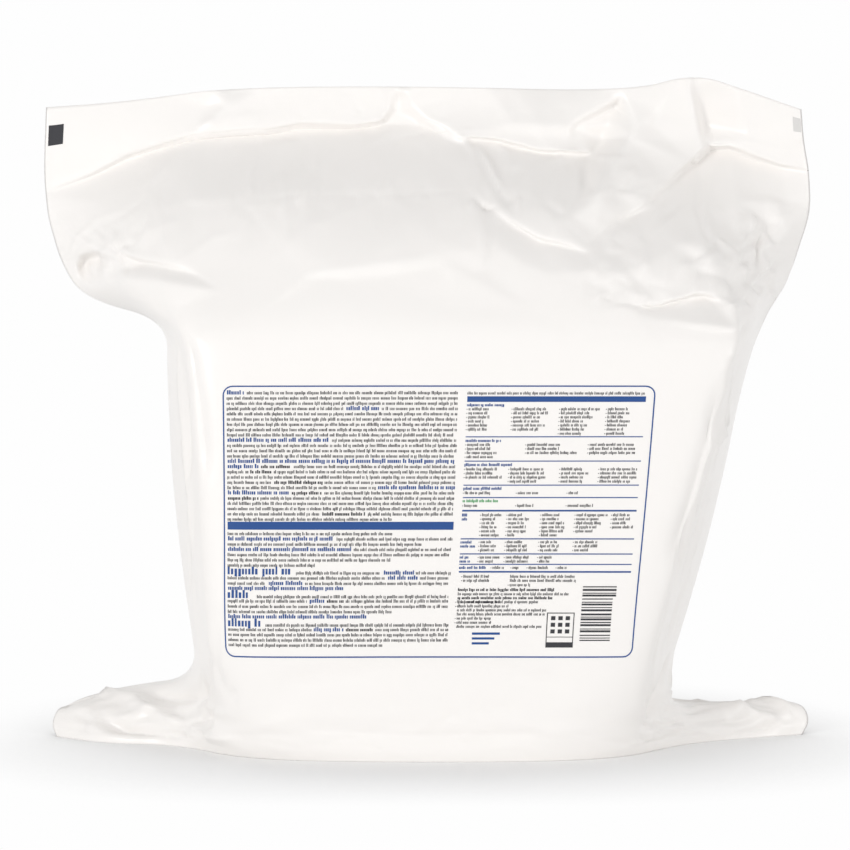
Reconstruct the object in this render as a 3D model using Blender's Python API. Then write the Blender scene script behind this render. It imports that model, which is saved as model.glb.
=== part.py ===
"""A sealed film pouch with a roll of wet wipes inside, standing on end.

The pouch is a flat tube of film with a seal across each end. The roll fills its middle, so the film
wraps the roll, spreads flat again towards the top seal, and lies out on the floor as two ears where
the bottom seal is folded under. Frame: metres, +Z up, the printed front faces -Y, and the origin is
on the floor under the middle of the pouch.
"""

import bpy
import numpy as np
from mathutils import Vector
from mathutils.geometry import delaunay_2d_cdt

# Driving sizes, in metres.
FILM_WIDTH = 0.356  # the flat pouch from fold to fold, which is also the length of each seal
ROLL_WIDTH = 0.202
ROLL_DEPTH = 0.160
ROLL_HEIGHT = 0.191
POUCH_HEIGHT = 0.303  # floor to the top of the seal
SEAL_BAND = 0.014
SEAL_THICKNESS = 0.0014
LEFT_FIN = 0.018  # how far the slack film stands out past the roll
RIGHT_FIN = 0.015
RIGHT_LEAN = 0.034  # how far the right side runs outwards on its way up to the rim
FLOOR_EAR = 0.022  # height of the ears that lie on the floor
CREASE = 0.007  # how far the deepest creases stand in or out
FOLD = 0.010  # how far the deepest fold of the slope stands in

# The printed panel on the front: across from the front middle, and up from the floor.
PANEL_WIDTH = 0.192
PANEL_LOW = 0.050
PANEL_HIGH = 0.170
PANEL_LINE = 0.0016
PANEL_GAP = 0.0024  # white space between the printed fields
PANEL_BAR = 0.0034
COLUMN_SPLIT = 0.010  # the white space between the two columns of print
LEFT_BAR_LOW = 0.106
BLOCK_WIDTH = 0.020
BLOCK_HEIGHT = 0.026
MARK_SIZE = 0.007  # the dark square printed on the film beside the top seal

# Values that follow from the sizes.
film = FILM_WIDTH / 2
roll = ROLL_WIDTH / 2
middle = -0.008  # the roll sits a little in front of the seal
front = middle - ROLL_DEPTH / 2
depth_centre = middle + 0.0035  # the back bulges, and the origin is under the middle of the depth
rim = ROLL_HEIGHT
top = POUCH_HEIGHT
foot = POUCH_HEIGHT - SEAL_BAND
left = -roll - LEFT_FIN
right = roll + RIGHT_LEAN + RIGHT_FIN
lean = RIGHT_LEAN
ear = FLOOR_EAR

# The film is drawn along rails that run up its surface. Each row below is one height on a rail:
# floor, hem, ear outside, ear middle, ear root, three on the wall, rim, shoulder, three on the
# slope up to the valley, the foot of the seal and its top edge.
FRONT_MIDDLE = [
    (0.000, front + 0.003, 0.000),
    (0.000, front + 0.001, 0.005),
    (0.000, front, 0.012),
    (0.000, front, ear - 0.003),
    (0.000, front, ear + 0.008),
    (0.000, front, rim * 0.31),
    (0.0025, front, rim * 0.63),
    (0.005, front, rim - 0.019),
    (0.005, front + 0.001, rim),
    (0.004, front + 0.006, rim + 0.014),
    (0.003, front + 0.019, rim + 0.036),
    (0.001, front + 0.045, rim + 0.062),
    (0.000, 0.004, foot - 0.007),
    (0.000, 0.008, foot + 0.002),
    (0.000, 0.010, top),
]
LEFT_CORNER = [
    (-roll + 0.019, front + 0.010, 0.000),
    (-roll + 0.016, front + 0.006, 0.005),
    (-roll + 0.013, front + 0.003, 0.012),
    (-roll + 0.011, front + 0.002, ear - 0.003),
    (-roll + 0.008, front + 0.001, ear + 0.008),
    (-roll + 0.003, front, rim * 0.31),
    (-roll, front, rim * 0.63),
    (-roll - 0.004, front, rim - 0.019),
    (-roll - 0.007, front + 0.001, rim - 0.001),
    (-roll - 0.009, front + 0.008, rim + 0.011),
    (-roll - 0.012, front + 0.021, rim + 0.031),
    (-roll - 0.007, front + 0.046, rim + 0.058),
    (-film + 0.079, 0.004, foot - 0.009),
    (-film + 0.081, 0.007, foot - 0.001),
    (-film + 0.082, 0.012, top - 0.001),
]
LEFT_INNER = [
    (-roll - 0.013, front + 0.056, 0.000),
    (-roll - 0.013, front + 0.055, 0.004),
    (-roll - 0.012, front + 0.056, 0.010),
    (-roll - 0.007, front + 0.052, ear - 0.002),
    (-roll - 0.003, front + 0.042, ear + 0.010),
    (-roll - 0.006, front + 0.032, rim * 0.31),
    (left + 0.007, front + 0.030, rim * 0.63),
    (left + 0.006, front + 0.030, rim - 0.019),
    (left + 0.004, front + 0.030, rim + 0.001),
    (-film + 0.050, front + 0.036, rim + 0.013),
    (-film + 0.040, front + 0.045, rim + 0.032),
    (-film + 0.044, front + 0.062, rim + 0.056),
    (-film + 0.050, 0.004, foot - 0.018),
    (-film + 0.052, 0.006, foot - 0.005),
    (-film + 0.053, 0.010, top - 0.005),
]
LEFT_OUTER = [
    (-film + 0.028, front + 0.061, 0.000),
    (-film + 0.027, front + 0.062, 0.004),
    (-film + 0.028, front + 0.070, 0.012),
    (-roll - 0.033, front + 0.080, ear),
    (-roll - 0.007, front + 0.066, ear + 0.008),
    (-roll - 0.009, front + 0.056, rim * 0.31),
    (left + 0.001, front + 0.053, rim * 0.63),
    (left, front + 0.053, rim - 0.019),
    (left - 0.001, front + 0.054, rim + 0.003),
    (-film + 0.036, front + 0.062, rim + 0.017),
    (-film + 0.020, front + 0.070, rim + 0.035),
    (-film + 0.022, front + 0.080, rim + 0.056),
    (-film + 0.025, 0.003, foot - 0.026),
    (-film + 0.027, 0.006, foot - 0.012),
    (-film + 0.028, 0.008, top - 0.008),
]
LEFT_FOLD = [
    (-film + 0.004, -0.006, 0.000),
    (-film + 0.001, -0.004, 0.006),
    (-film + 0.006, 0.000, 0.016),
    (-roll - 0.039, 0.006, ear + 0.001),
    (-roll - 0.007, 0.004, ear + 0.005),
    (-roll - 0.010, middle, rim * 0.31),
    (left, middle - 0.004, rim * 0.63),
    (left - 0.002, middle - 0.004, rim - 0.019),
    (left - 0.002, middle - 0.002, rim + 0.005),
    (-film + 0.019, middle + 0.002, rim + 0.014),
    (-film + 0.006, middle + 0.006, rim + 0.032),
    (-film + 0.001, 0.002, rim + 0.052),
    (-film - 0.001, 0.004, foot - 0.034),
    (-film - 0.001, 0.005, foot - 0.020),
    (-film, 0.005, top - 0.010),
]
RIGHT_CORNER = [
    (roll - 0.017, front + 0.009, 0.000),
    (roll - 0.014, front + 0.006, 0.005),
    (roll - 0.011, front + 0.003, 0.012),
    (roll - 0.009, front + 0.002, ear - 0.003),
    (roll - 0.006, front + 0.001, ear + 0.008),
    (roll, front, rim * 0.31),
    (roll + lean * 0.59, front, rim * 0.63),
    (roll + lean * 0.92, front, rim - 0.019),
    (roll + lean + 0.003, front + 0.001, rim - 0.001),
    (roll + lean + 0.001, front + 0.009, rim + 0.011),
    (roll + lean - 0.008, front + 0.022, rim + 0.031),
    (roll + 0.011, front + 0.046, rim + 0.057),
    (film - 0.082, 0.004, foot - 0.018),
    (film - 0.084, 0.006, foot - 0.003),
    (film - 0.084, 0.010, top - 0.003),
]
RIGHT_INNER = [
    (roll + 0.015, front + 0.057, 0.000),
    (roll + 0.015, front + 0.056, 0.004),
    (roll + 0.014, front + 0.056, 0.010),
    (roll + 0.010, front + 0.052, ear - 0.009),
    (roll + 0.003, front + 0.040, ear + 0.003),
    (roll + 0.010, front + 0.030, rim * 0.31),
    (roll + lean * 0.78, front + 0.026, rim * 0.63),
    (right - 0.010, front + 0.026, rim - 0.019),
    (right - 0.003, front + 0.026, rim + 0.002),
    (right - 0.002, front + 0.032, rim + 0.013),
    (film - 0.036, front + 0.042, rim + 0.032),
    (film - 0.044, front + 0.062, rim + 0.056),
    (film - 0.050, 0.003, foot - 0.016),
    (film - 0.053, 0.006, foot),
    (film - 0.054, 0.006, top + 0.006),
]
RIGHT_OUTER = [
    (film - 0.032, front + 0.076, 0.000),
    (film - 0.030, front + 0.076, 0.004),
    (film - 0.032, front + 0.080, 0.012),
    (roll + 0.031, front + 0.082, ear - 0.009),
    (roll + 0.007, front + 0.064, ear - 0.003),
    (roll + 0.018, front + 0.054, rim * 0.31),
    (roll + lean * 0.95, front + 0.050, rim * 0.63),
    (right - 0.005, front + 0.052, rim - 0.019),
    (right + 0.001, front + 0.056, rim + 0.004),
    (right + 0.006, front + 0.060, rim + 0.015),
    (film - 0.020, front + 0.070, rim + 0.035),
    (film - 0.022, front + 0.080, rim + 0.057),
    (film - 0.028, 0.002, foot - 0.018),
    (film - 0.030, 0.005, foot - 0.006),
    (film - 0.030, 0.004, top - 0.002),
]
RIGHT_FOLD = [
    (film - 0.002, 0.000, 0.000),
    (film + 0.002, 0.002, 0.007),
    (film - 0.003, 0.005, 0.016),
    (roll + 0.041, 0.008, ear - 0.008),
    (roll + 0.006, 0.004, ear - 0.009),
    (roll + 0.020, middle, rim * 0.31),
    (roll + lean * 1.06, middle - 0.006, rim * 0.63),
    (right - 0.003, middle - 0.004, rim - 0.019),
    (right + 0.006, middle - 0.002, rim + 0.006),
    (right + 0.013, middle + 0.002, rim + 0.016),
    (film - 0.007, middle + 0.006, rim + 0.033),
    (film, 0.002, rim + 0.053),
    (film, 0.003, foot - 0.026),
    (film - 0.003, 0.004, foot - 0.012),
    (film - 0.004, 0.004, top - 0.011),
]

# The back of the pouch is the front turned round, with a rounder wall where the roll is not pressed
# flat. These say how far each back rail is drawn in towards the middle, and out to the back. The
# last two rows are the seal, where front and back lie together.
BACK_NARROW = [0.97, 0.96, 0.94, 0.92, 0.90, 0.86, 0.82, 0.80, 0.82, 0.88, 0.94, 1.0, 1.0, 1.0, 1.0]
BACK_BULGE = [-0.006, -0.002, 0.002, 0.003, 0.004, 0.008, 0.008, 0.006, 0.004, 0, 0, 0.003, 0.010, 0, 0]
ROLL_SHARE = [1, 1, 1, 1, 1, 1, 1, 1, 1, 0.7, 0.4, 0, 0, 0, 0]  # where the roll fills the film

# How much of the film beside each rail belongs to its bend: 0.5 is a soft curve, near 0 a fold.
SOFT = [0.5] * 15
CORNER_BEND = [0.5, 0.5, 0.5, 0.45, 0.38, 0.26, 0.20, 0.17, 0.20, 0.30, 0.45, 0.5, 0.5, 0.5, 0.5]
FOLD_BEND = [0.05, 0.05, 0.08, 0.14, 0.30, 0.45, 0.45, 0.45, 0.40, 0.16, 0.08, 0.05, 0.04, 0.03, 0.03]

FRONT_RAILS = [LEFT_FOLD, LEFT_OUTER, LEFT_INNER, LEFT_CORNER, FRONT_MIDDLE,
               RIGHT_CORNER, RIGHT_INNER, RIGHT_OUTER, RIGHT_FOLD]
FRONT_BENDS = [FOLD_BEND, SOFT, SOFT, CORNER_BEND, SOFT, CORNER_BEND, SOFT, SOFT, FOLD_BEND]


def rounded(points, bends, places):
    """Points along a run of corners, each one bent round over its own share of the sides."""
    ends = (2 * points[:1] - points[1:2], 2 * points[-1:] - points[-2:-1])
    run = np.concatenate([ends[0], points, ends[1]])
    nearest = np.rint(places).astype(int)
    step = (places - nearest)[:, None]
    before, corner, after = run[nearest], run[nearest + 1], run[nearest + 2]
    bend = bends[nearest][:, None]
    straight = corner + np.where(step < 0, before - corner, after - corner) * np.abs(step)
    turn = np.clip((step + bend) / (2 * bend), 0, 1)
    start = corner + (before - corner) * bend
    end = corner + (after - corner) * bend
    curve = start * (1 - turn) ** 2 + corner * 2 * turn * (1 - turn) + end * turn ** 2
    return np.where(np.abs(step) < bend, curve, straight)


def up_rail(rail, rows):
    """Where each row crosses one rail."""
    return rounded(np.array(rail, float), np.full(len(rail), 0.5), rows)


def back_rails():
    """The rails of the back, left to right, from the front rails turned round."""
    folds = (np.array(LEFT_FOLD)[:, 1] + np.array(RIGHT_FOLD)[:, 1]) / 2
    rails = []
    for number, rail in enumerate(FRONT_RAILS[1:-1]):
        points = np.array(rail, float)
        towards_middle = (1, 2, 3, 4, 3, 2, 1)[number] / 4
        narrow = np.array(BACK_NARROW)
        if number != 3:
            points[:, 0] *= 1 - (1 - narrow) * (1.4 - abs(towards_middle - 0.75))
        held = np.array(ROLL_SHARE) * towards_middle
        centre = folds * (1 - held) + middle * held
        turned = 2 * centre - points[:, 1] + np.array(BACK_BULGE) * towards_middle
        points[:-2, 1] = turned[:-2]
        rails.append(points)
    return rails


def half_section(rails, bends, across, true_length):
    """Spread columns along one sheet of a section, from the left fold to the right fold."""
    places = np.linspace(0, len(rails) - 1, 24 * (len(rails) - 1) + 1)
    points = rounded(rails, bends, places)
    steps = np.linalg.norm(np.diff(points, axis=0), axis=1)
    length = np.concatenate([[0], np.cumsum(steps)])
    centre = np.interp((len(rails) - 1) / 2, places, length)
    slack = np.where(across < 0, centre, length[-1] - centre) - film
    share = np.abs(across) / film
    if true_length:
        share = np.clip((share - 0.56) / 0.44, 0, 1)
        share = share * share * (3 - 2 * share)
    wanted = centre + across + np.sign(across) * slack * share
    return np.stack([np.interp(wanted, length, points[:, axis]) for axis in range(3)], axis=1)


def film_sheets(rows, across):
    """The front and back of the film as grids of points, rows upwards and columns left to right."""
    front_rails = np.stack([up_rail(rail, rows) for rail in FRONT_RAILS], axis=1)
    turned = [up_rail(rail, rows) for rail in back_rails()]
    back = np.stack([front_rails[:, 0]] + turned + [front_rails[:, -1]], axis=1)
    heights = np.arange(len(SOFT))
    bends = np.stack([np.interp(rows, heights, bend) for bend in FRONT_BENDS], axis=1)
    sheets = []
    for rails, true_length in ((front_rails, True), (back, False)):
        sheet = [half_section(rails[row], bends[row], across, true_length) for row in range(len(rows))]
        sheets.append(np.array(sheet) - (0, depth_centre, 0))
    return sheets


# The creases, as height, reach to either side, and the points they run through. Height is a share
# of the deepest crease, above nought for a ridge. A point is the distance across the film from its
# middle, and the row on the rails. The first list is the front, seen by its printed side.
FRONT_CREASES = [
    # the fins beside the roll
    (-0.50, 0.012, [(0.121, 7.0), (0.119, 6.5), (0.116, 6.2), (0.111, 5.8), (0.105, 5.45)]),
    (0.45, 0.011, [(0.137, 6.9), (0.136, 6.6), (0.121, 6.45), (0.117, 6.25)]),
    (-0.50, 0.011, [(0.139, 4.6), (0.130, 4.1), (0.110, 3.2), (0.100, 1.4)]),
    # the ears on the floor
    (0.45, 0.011, [(-0.178, 2.6), (-0.162, 2.75), (-0.137, 2.3), (-0.110, 1.75), (-0.086, 1.55)]),
    (-0.80, 0.011, [(-0.114, 4.05), (-0.131, 3.2), (-0.146, 3.1), (-0.169, 3.1)]),
    (-0.70, 0.011, [(-0.103, 3.1), (-0.116, 2.4), (-0.126, 2.1), (-0.143, 2.6)]),
    (-0.50, 0.011, [(-0.170, 2.05), (-0.154, 1.7), (-0.143, 1.25), (-0.129, 0.75), (-0.119, 0.7)]),
    (0.45, 0.011, [(0.117, 3.75), (0.156, 3.1), (0.158, 2.15), (0.166, 1.0), (0.174, 0.2)]),
    (-0.65, 0.011, [(0.143, 0.25), (0.154, 0.55), (0.166, 1.0), (0.170, 1.25)]),
    (0.45, 0.011, [(0.150, 1.8), (0.163, 2.45), (0.178, 2.5), (0.173, 1.85), (0.175, 1.15)]),
    (-0.55, 0.011, [(0.152, 1.7), (0.161, 2.05), (0.165, 1.7), (0.168, 1.3)]),
]
BACK_CREASES = [
    (-0.5, 0.014, [(-0.120, 8.2), (-0.118, 7.0), (-0.116, 5.8)]),
    (-0.5, 0.014, [(0.126, 7.8), (0.124, 6.6), (0.120, 5.4)]),
    (0.5, 0.014, [(-0.020, 8.4), (0.020, 8.0), (0.060, 8.2)]),
    (0.6, 0.012, [(-0.150, 2.6), (-0.120, 3.2), (-0.096, 3.8)]),
    (-0.6, 0.012, [(0.140, 3.6), (0.122, 3.2), (0.104, 2.6)]),
]
SMOOTH_END = 0.014  # a crease that stops inside the film fades out over this length

# The folds of the slope and of the strip above it. The film between them lies in flat facets. A
# point is the distance across as a share of the film's half width, the row, and how far the film
# stands forwards there, as a share of the deepest fold.
FRONT_FOLDS = [
    # the top edge of the seal, left to right
    [(-1, 14, 0), (-0.81, 14, 0), (-0.66, 14, 0), (-0.56, 14, 0.1), (-0.52, 14, -0.2), (-0.44, 14, 0.1),
     (-0.26, 14, 0), (-0.12, 14, 0), (-0.08, 14, -0.3), (-0.04, 14, 0.1), (0.06, 14, 0), (0.16, 14, -0.4),
     (0.24, 14, -0.6), (0.35, 14, -0.6), (0.46, 14, -0.4), (0.51, 14, 0.2), (0.57, 14, 0),
     (0.64, 14, -0.2), (0.7, 14, -0.1), (0.75, 14, -0.1), (0.81, 14, -0.1), (0.92, 14, 0), (1, 14, 0)],
    # the valley where the slope meets the flat strip under the seal, left of the middle
    [(-0.99, 11.85, -0.05), (-0.88, 12.1, -0.2), (-0.79, 12.3, -0.3), (-0.7, 12.3, -0.35),
     (-0.63, 12.35, -0.4), (-0.56, 12.3, -0.4), (-0.42, 12.25, -0.4), (-0.34, 12.5, -0.4),
     (-0.2, 12.4, -0.4), (-0.12, 12.5, -0.4), (-0.09, 13.05, -0.5)],
    [(-0.99, 11.4, 0), (-0.88, 11.6, 0), (-0.78, 11.8, 0), (-0.63, 11.85, 0), (-0.42, 11.8, 0),
     (-0.2, 11.9, 0), (-0.08, 12.05, -0.1), (0.03, 11.7, -0.05)],
    [(-0.99, 10.8, 0.05), (-0.87, 10.9, 0.05), (-0.76, 11.1, 0.05), (-0.62, 11.25, 0.05),
     (-0.42, 11.35, 0.05), (-0.2, 11.4, 0.05), (0, 11.35, 0.05), (0.1, 11.25, 0.05)],
    [(-0.58, 13.45, -0.3), (-0.61, 12.7, -0.4)],
    [(-0.44, 13.85, 0.1), (-0.52, 13.55, 0.15), (-0.59, 12.75, -0.1)],
    # the valley that runs from the seal down the middle of the slope
    [(-0.08, 13.85, -0.3), (-0.07, 13.55, -0.5), (-0.04, 13.1, -0.6), (0, 12.55, -0.5), (0.07, 12.1, -0.5),
     (0.1, 12.05, -0.5), (0.15, 11.4, -0.6), (0.18, 10.95, -0.5)],
    [(-0.04, 13.85, 0.1), (-0.01, 13.45, 0.2), (0.07, 12.6, 0.15), (0.14, 12.4, 0.1), (0.19, 12.5, 0.1)],
    [(0.16, 11.8, -0.1), (0.2, 11.2, 0.1)],
    # the rolled edge under the seal right of the middle
    [(0.1, 12.05, -0.5), (0.19, 12.3, -0.4), (0.29, 12.05, -0.45), (0.38, 12, -0.5), (0.43, 12.05, -0.5)],
    [(0.19, 12.5, 0.1), (0.23, 12.8, 0.2), (0.3, 12.75, 0.25), (0.38, 12.75, 0.2), (0.43, 13.1, 0),
     (0.46, 13.5, -0.1)],
    [(0.24, 11.6, -0.15), (0.34, 11.55, -0.15), (0.39, 11.5, -0.2)],
    [(0.26, 11.2, 0), (0.32, 11, 0)],
    # the tall fold right of the middle
    [(0.51, 13.75, 0.1), (0.54, 12.75, 0.4), (0.5, 11.9, 0.4), (0.44, 11.3, 0.3), (0.39, 11, 0.2),
     (0.35, 10.8, 0.1)],
    [(0.47, 13.35, -0.3), (0.49, 12.85, -0.4), (0.43, 11.95, -0.5), (0.4, 11.35, -0.4),
     (0.36, 10.95, -0.1)],
    [(0.64, 13.85, -0.2), (0.6, 13.25, -0.1), (0.58, 12.95, -0.1), (0.54, 12.65, 0.2)],
    # the deep fold under the peak of the seal, and what runs out from its foot
    [(0.7, 13.85, -0.1), (0.71, 13.3, -0.6), (0.74, 12.65, -0.9), (0.74, 12.05, -1)],
    [(0.74, 12.05, -1), (0.79, 12.15, -0.6), (0.85, 12.05, -0.4), (0.93, 12, -0.3), (0.99, 12.05, -0.2)],
    [(0.78, 11.7, -0.5), (0.85, 11.55, -0.2), (0.93, 11.5, -0.15), (0.99, 11.55, -0.1)],
    [(0.8, 11.15, -0.1), (0.89, 11.1, 0)],
    [(0.74, 12.05, -1), (0.69, 11.7, -0.95), (0.61, 11.25, -0.8), (0.55, 10.9, -0.6), (0.48, 10.75, -0.5),
     (0.42, 10.55, -0.45), (0.39, 10.25, -0.3)],
    [(0.75, 11.3, -0.4), (0.69, 10.95, -0.2), (0.61, 10.6, -0.05), (0.53, 10.15, 0)],
    # the folds low on the slope
    [(0.18, 10.95, -0.5), (0.15, 10.85, -0.4), (0.21, 10.65, -0.5), (0.27, 10.4, -0.5), (0.39, 10.2, -0.4)],
    [(0.2, 11.15, 0.1), (0.25, 10.85, 0.15), (0.32, 10.6, 0.15), (0.39, 10.45, 0)],
    [(0.17, 10.35, 0), (0.26, 10.05, 0), (0.37, 9.85, 0)],
    [(0.11, 11.05, 0), (0.12, 10.65, 0.2), (0.12, 10.2, 0.2), (0.1, 9.75, 0)],
    [(0.15, 10.75, -0.2), (0.15, 10.35, -0.2), (0.12, 9.8, -0.1)],
    [(-0.43, 10.95, 0), (-0.39, 10.9, 0.1), (-0.37, 10.4, 0.15), (-0.34, 9.75, 0.15), (-0.25, 9.85, 0.3),
     (-0.11, 9.95, 0.3), (0.01, 10.05, 0.15)],
    [(-0.3, 9.7, 0), (-0.22, 9.65, -0.05), (-0.12, 9.7, -0.05), (-0.01, 9.85, 0)],
    [(0, 9.35, 0), (0.04, 9.55, 0.1), (0.08, 9.65, 0.1)],
    [(-0.48, 10.95, -0.1), (-0.46, 10.7, -0.2), (-0.42, 10.45, -0.1)],
    [(-0.67, 11.65, -0.2), (-0.65, 11.3, -0.25), (-0.62, 11, -0.1)],
    [(-0.5, 11, 0), (-0.45, 11.05, -0.05)],
    # the left top ear
    [(-0.95, 10.2, -0.1), (-0.94, 9.9, -0.6), (-0.94, 9.45, -0.6), (-0.89, 9.65, -0.7),
     (-0.86, 10.05, -0.3), (-0.9, 10.1, -0.2), (-0.94, 9.9, -0.6)],
    [(-0.84, 10.25, 0), (-0.81, 10.05, 0.2), (-0.79, 9.65, 0.2)],
    [(-0.85, 9.7, -0.2), (-0.8, 9.85, -0.2)],
    [(-0.79, 10.4, 0), (-0.76, 10, -0.2), (-0.69, 9.95, -0.15), (-0.61, 9.8, -0.1)],
    [(-0.91, 9.2, 0.1), (-0.76, 9.65, 0.2), (-0.69, 9.75, 0.2), (-0.61, 9.65, 0.2), (-0.56, 9.5, 0)],
    [(-0.71, 10.65, 0), (-0.66, 10.3, 0.05)],
    # the right top ear
    [(0.91, 11.15, 0.1), (0.93, 10.75, 0.3), (0.89, 10.4, 0.2), (0.87, 10.15, 0.3), (0.86, 9.45, 0.1)],
    [(0.88, 10.95, -0.3), (0.84, 10.25, -0.3), (0.81, 9.8, -0.3)],
    [(0.8, 10.25, 0.1), (0.77, 9.85, 0.2), (0.72, 9.45, 0.1)],
    [(0.72, 10.05, -0.2), (0.7, 9.65, -0.3)],
    [(0.52, 9.2, -0.1), (0.59, 9.35, -0.3), (0.66, 9.5, -0.4), (0.69, 9.3, -0.2), (0.72, 9.4, 0.2),
     (0.73, 8.35, 0)],
    [(0.54, 8.8, 0.1), (0.62, 8.65, 0.2), (0.67, 8.6, 0.2), (0.7, 8.45, 0.1)],
    [(0.66, 10.45, 0.2), (0.68, 10.3, 0.2), (0.69, 10.05, 0.1)],
    [(0.64, 10.2, -0.1), (0.66, 9.9, -0.1)],
    [(0.35, 9.8, 0.1), (0.38, 9.85, 0.1), (0.4, 9.85, 0.1)],
    [(0.38, 8.95, 0.1), (0.43, 9.2, 0.1), (0.47, 9.4, 0.1)],
    [(0.38, 9.55, -0.1), (0.44, 9.6, -0.1), (0.49, 9.75, -0.1)],
    [(1, 8.9, -0.3), (0.94, 8.85, -0.3)],
    # the edges of the folded part: the rim, and the two side folds of the film
    [(-1, 8.3, 0), (-0.67, 8.3, 0), (-0.34, 8.3, 0), (0, 8.3, 0), (0.34, 8.3, 0), (0.67, 8.3, 0),
     (1, 8.3, 0)],
    [(-1, 8.3, 0), (-1, 9.2, 0), (-1, 10.2, 0), (-1, 11, 0)],
    [(1, 8.3, 0), (1, 9.2, 0), (1, 10.2, 0), (1, 11, 0)],
    [(-0.67, 9, 0), (-0.45, 9, 0), (-0.22, 9, 0), (0, 9, 0), (0.22, 9, 0)],
]
BACK_FOLDS = [
    # the valley where the slope meets the seal
    [(-1, 14, 0), (-0.56, 14, 0), (-0.17, 14, 0), (0.22, 14, 0), (0.56, 14, 0), (1, 14, 0)],
    [(-1, 13.1, 0), (-0.56, 13.1, 0), (-0.17, 13.1, 0), (0.22, 13.1, 0), (0.56, 13.1, 0), (1, 13.1, 0)],
    [(-0.99, 11.9, 0), (-0.84, 12.1, -0.2), (-0.62, 12.4, -0.3), (-0.34, 12.5, -0.4), (-0.08, 12.6, -0.4),
     (0.1, 12.2, -0.4), (0.34, 12.2, -0.4), (0.53, 12.1, -0.4), (0.74, 12, -0.6), (0.93, 12, -0.2),
     (1, 12, 0)],
    [(-0.99, 11.4, 0), (-0.79, 11.6, 0), (-0.51, 11.8, -0.1), (-0.17, 11.9, -0.1), (0.17, 11.7, -0.1),
     (0.51, 11.5, -0.1), (0.79, 11.5, 0), (0.99, 11.4, 0)],
    [(-0.96, 10.8, 0), (-0.62, 11.1, 0), (-0.28, 11.3, 0.05), (0.11, 11.1, 0.05), (0.45, 11, 0),
     (0.79, 10.9, 0)],
    # long folds that run from the valley down to the rim
    [(-0.33, 12.3, -0.4), (-0.28, 11.5, -0.4), (-0.31, 10.6, -0.4), (-0.39, 9.6, -0.1)],
    [(-0.25, 11.9, 0), (-0.2, 11, 0.3), (-0.25, 10, 0.2), (-0.28, 9.3, 0)],
    [(0.17, 12, -0.4), (0.12, 11.3, -0.4), (0.02, 10.5, -0.3), (-0.02, 9.7, -0.1)],
    [(0.26, 11.8, 0), (0.22, 10.9, 0.3), (0.15, 9.9, 0.2)],
    [(0.62, 12, -0.4), (0.54, 11.2, -0.5), (0.47, 10.4, -0.4), (0.45, 9.6, -0.1)],
    [(0.71, 11.6, -0.1), (0.64, 10.7, 0.3), (0.58, 9.8, 0.2)],
    [(-0.73, 11.8, -0.2), (-0.7, 10.9, -0.3), (-0.63, 9.9, -0.2)],
    [(-0.63, 11.3, 0), (-0.58, 10.4, 0.2), (-0.55, 9.5, 0.1)],
    # the edges of the folded part
    [(-1, 8.3, 0), (-0.67, 8.3, 0), (-0.34, 8.3, 0), (0, 8.3, 0), (0.34, 8.3, 0), (0.67, 8.3, 0),
     (1, 8.3, 0)],
    [(-1, 8.3, 0), (-1, 9.2, 0), (-1, 10.2, 0), (-1, 11, 0)],
    [(1, 8.3, 0), (1, 9.2, 0), (1, 10.2, 0), (1, 11, 0)],
]
ROW_PITCH = 0.135  # about how far two rows lie apart, as a share of the film's half width


def crease_line(points, side):
    """Where a crease lies in space, in short steps."""
    points = np.array(points, float)
    places = np.linspace(0, len(points) - 1, 8 * (len(points) - 1) + 1)
    across = np.interp(places, np.arange(len(points)), np.clip(points[:, 0], -film, film))
    rows = np.interp(places, np.arange(len(points)), points[:, 1])
    order = np.argsort(across, kind="stable")
    sheet = film_sheets(rows, across[order])[side]
    line = np.empty((len(places), 3))
    line[order] = sheet[order, np.arange(len(places))]
    return line


def crease_heights(sheet, creases, side):
    """How far each point of one sheet stands out or in beside its creases."""
    heights = np.zeros(sheet.shape[:2])
    for height, reach, points in creases:
        line = crease_line(points, side)
        starts, steps = line[:-1], np.diff(line, axis=0)
        lengths = np.linalg.norm(steps, axis=1)
        along = np.concatenate([[0], np.cumsum(lengths)])
        offset = sheet[:, :, None, :] - starts
        share = np.clip((offset * steps).sum(-1) / lengths ** 2, 0, 1)
        away = np.linalg.norm(offset - share[..., None] * steps, axis=-1)
        nearest = away.argmin(-1)
        gap = np.take_along_axis(away, nearest[..., None], -1)[..., 0]
        place = along[nearest] + np.take_along_axis(share, nearest[..., None], -1)[..., 0] * lengths[nearest]
        fade = np.ones(place.shape)
        for end, distance in ((points[0], place), (points[-1], along[-1] - place)):
            if end[1] < 13.9 and abs(end[0]) < film - 0.001:
                fade = np.minimum(fade, distance / SMOOTH_END)
        heights += CREASE * height * fade * np.clip(1 - gap / reach, 0, 1) ** 2
    return heights


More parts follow.
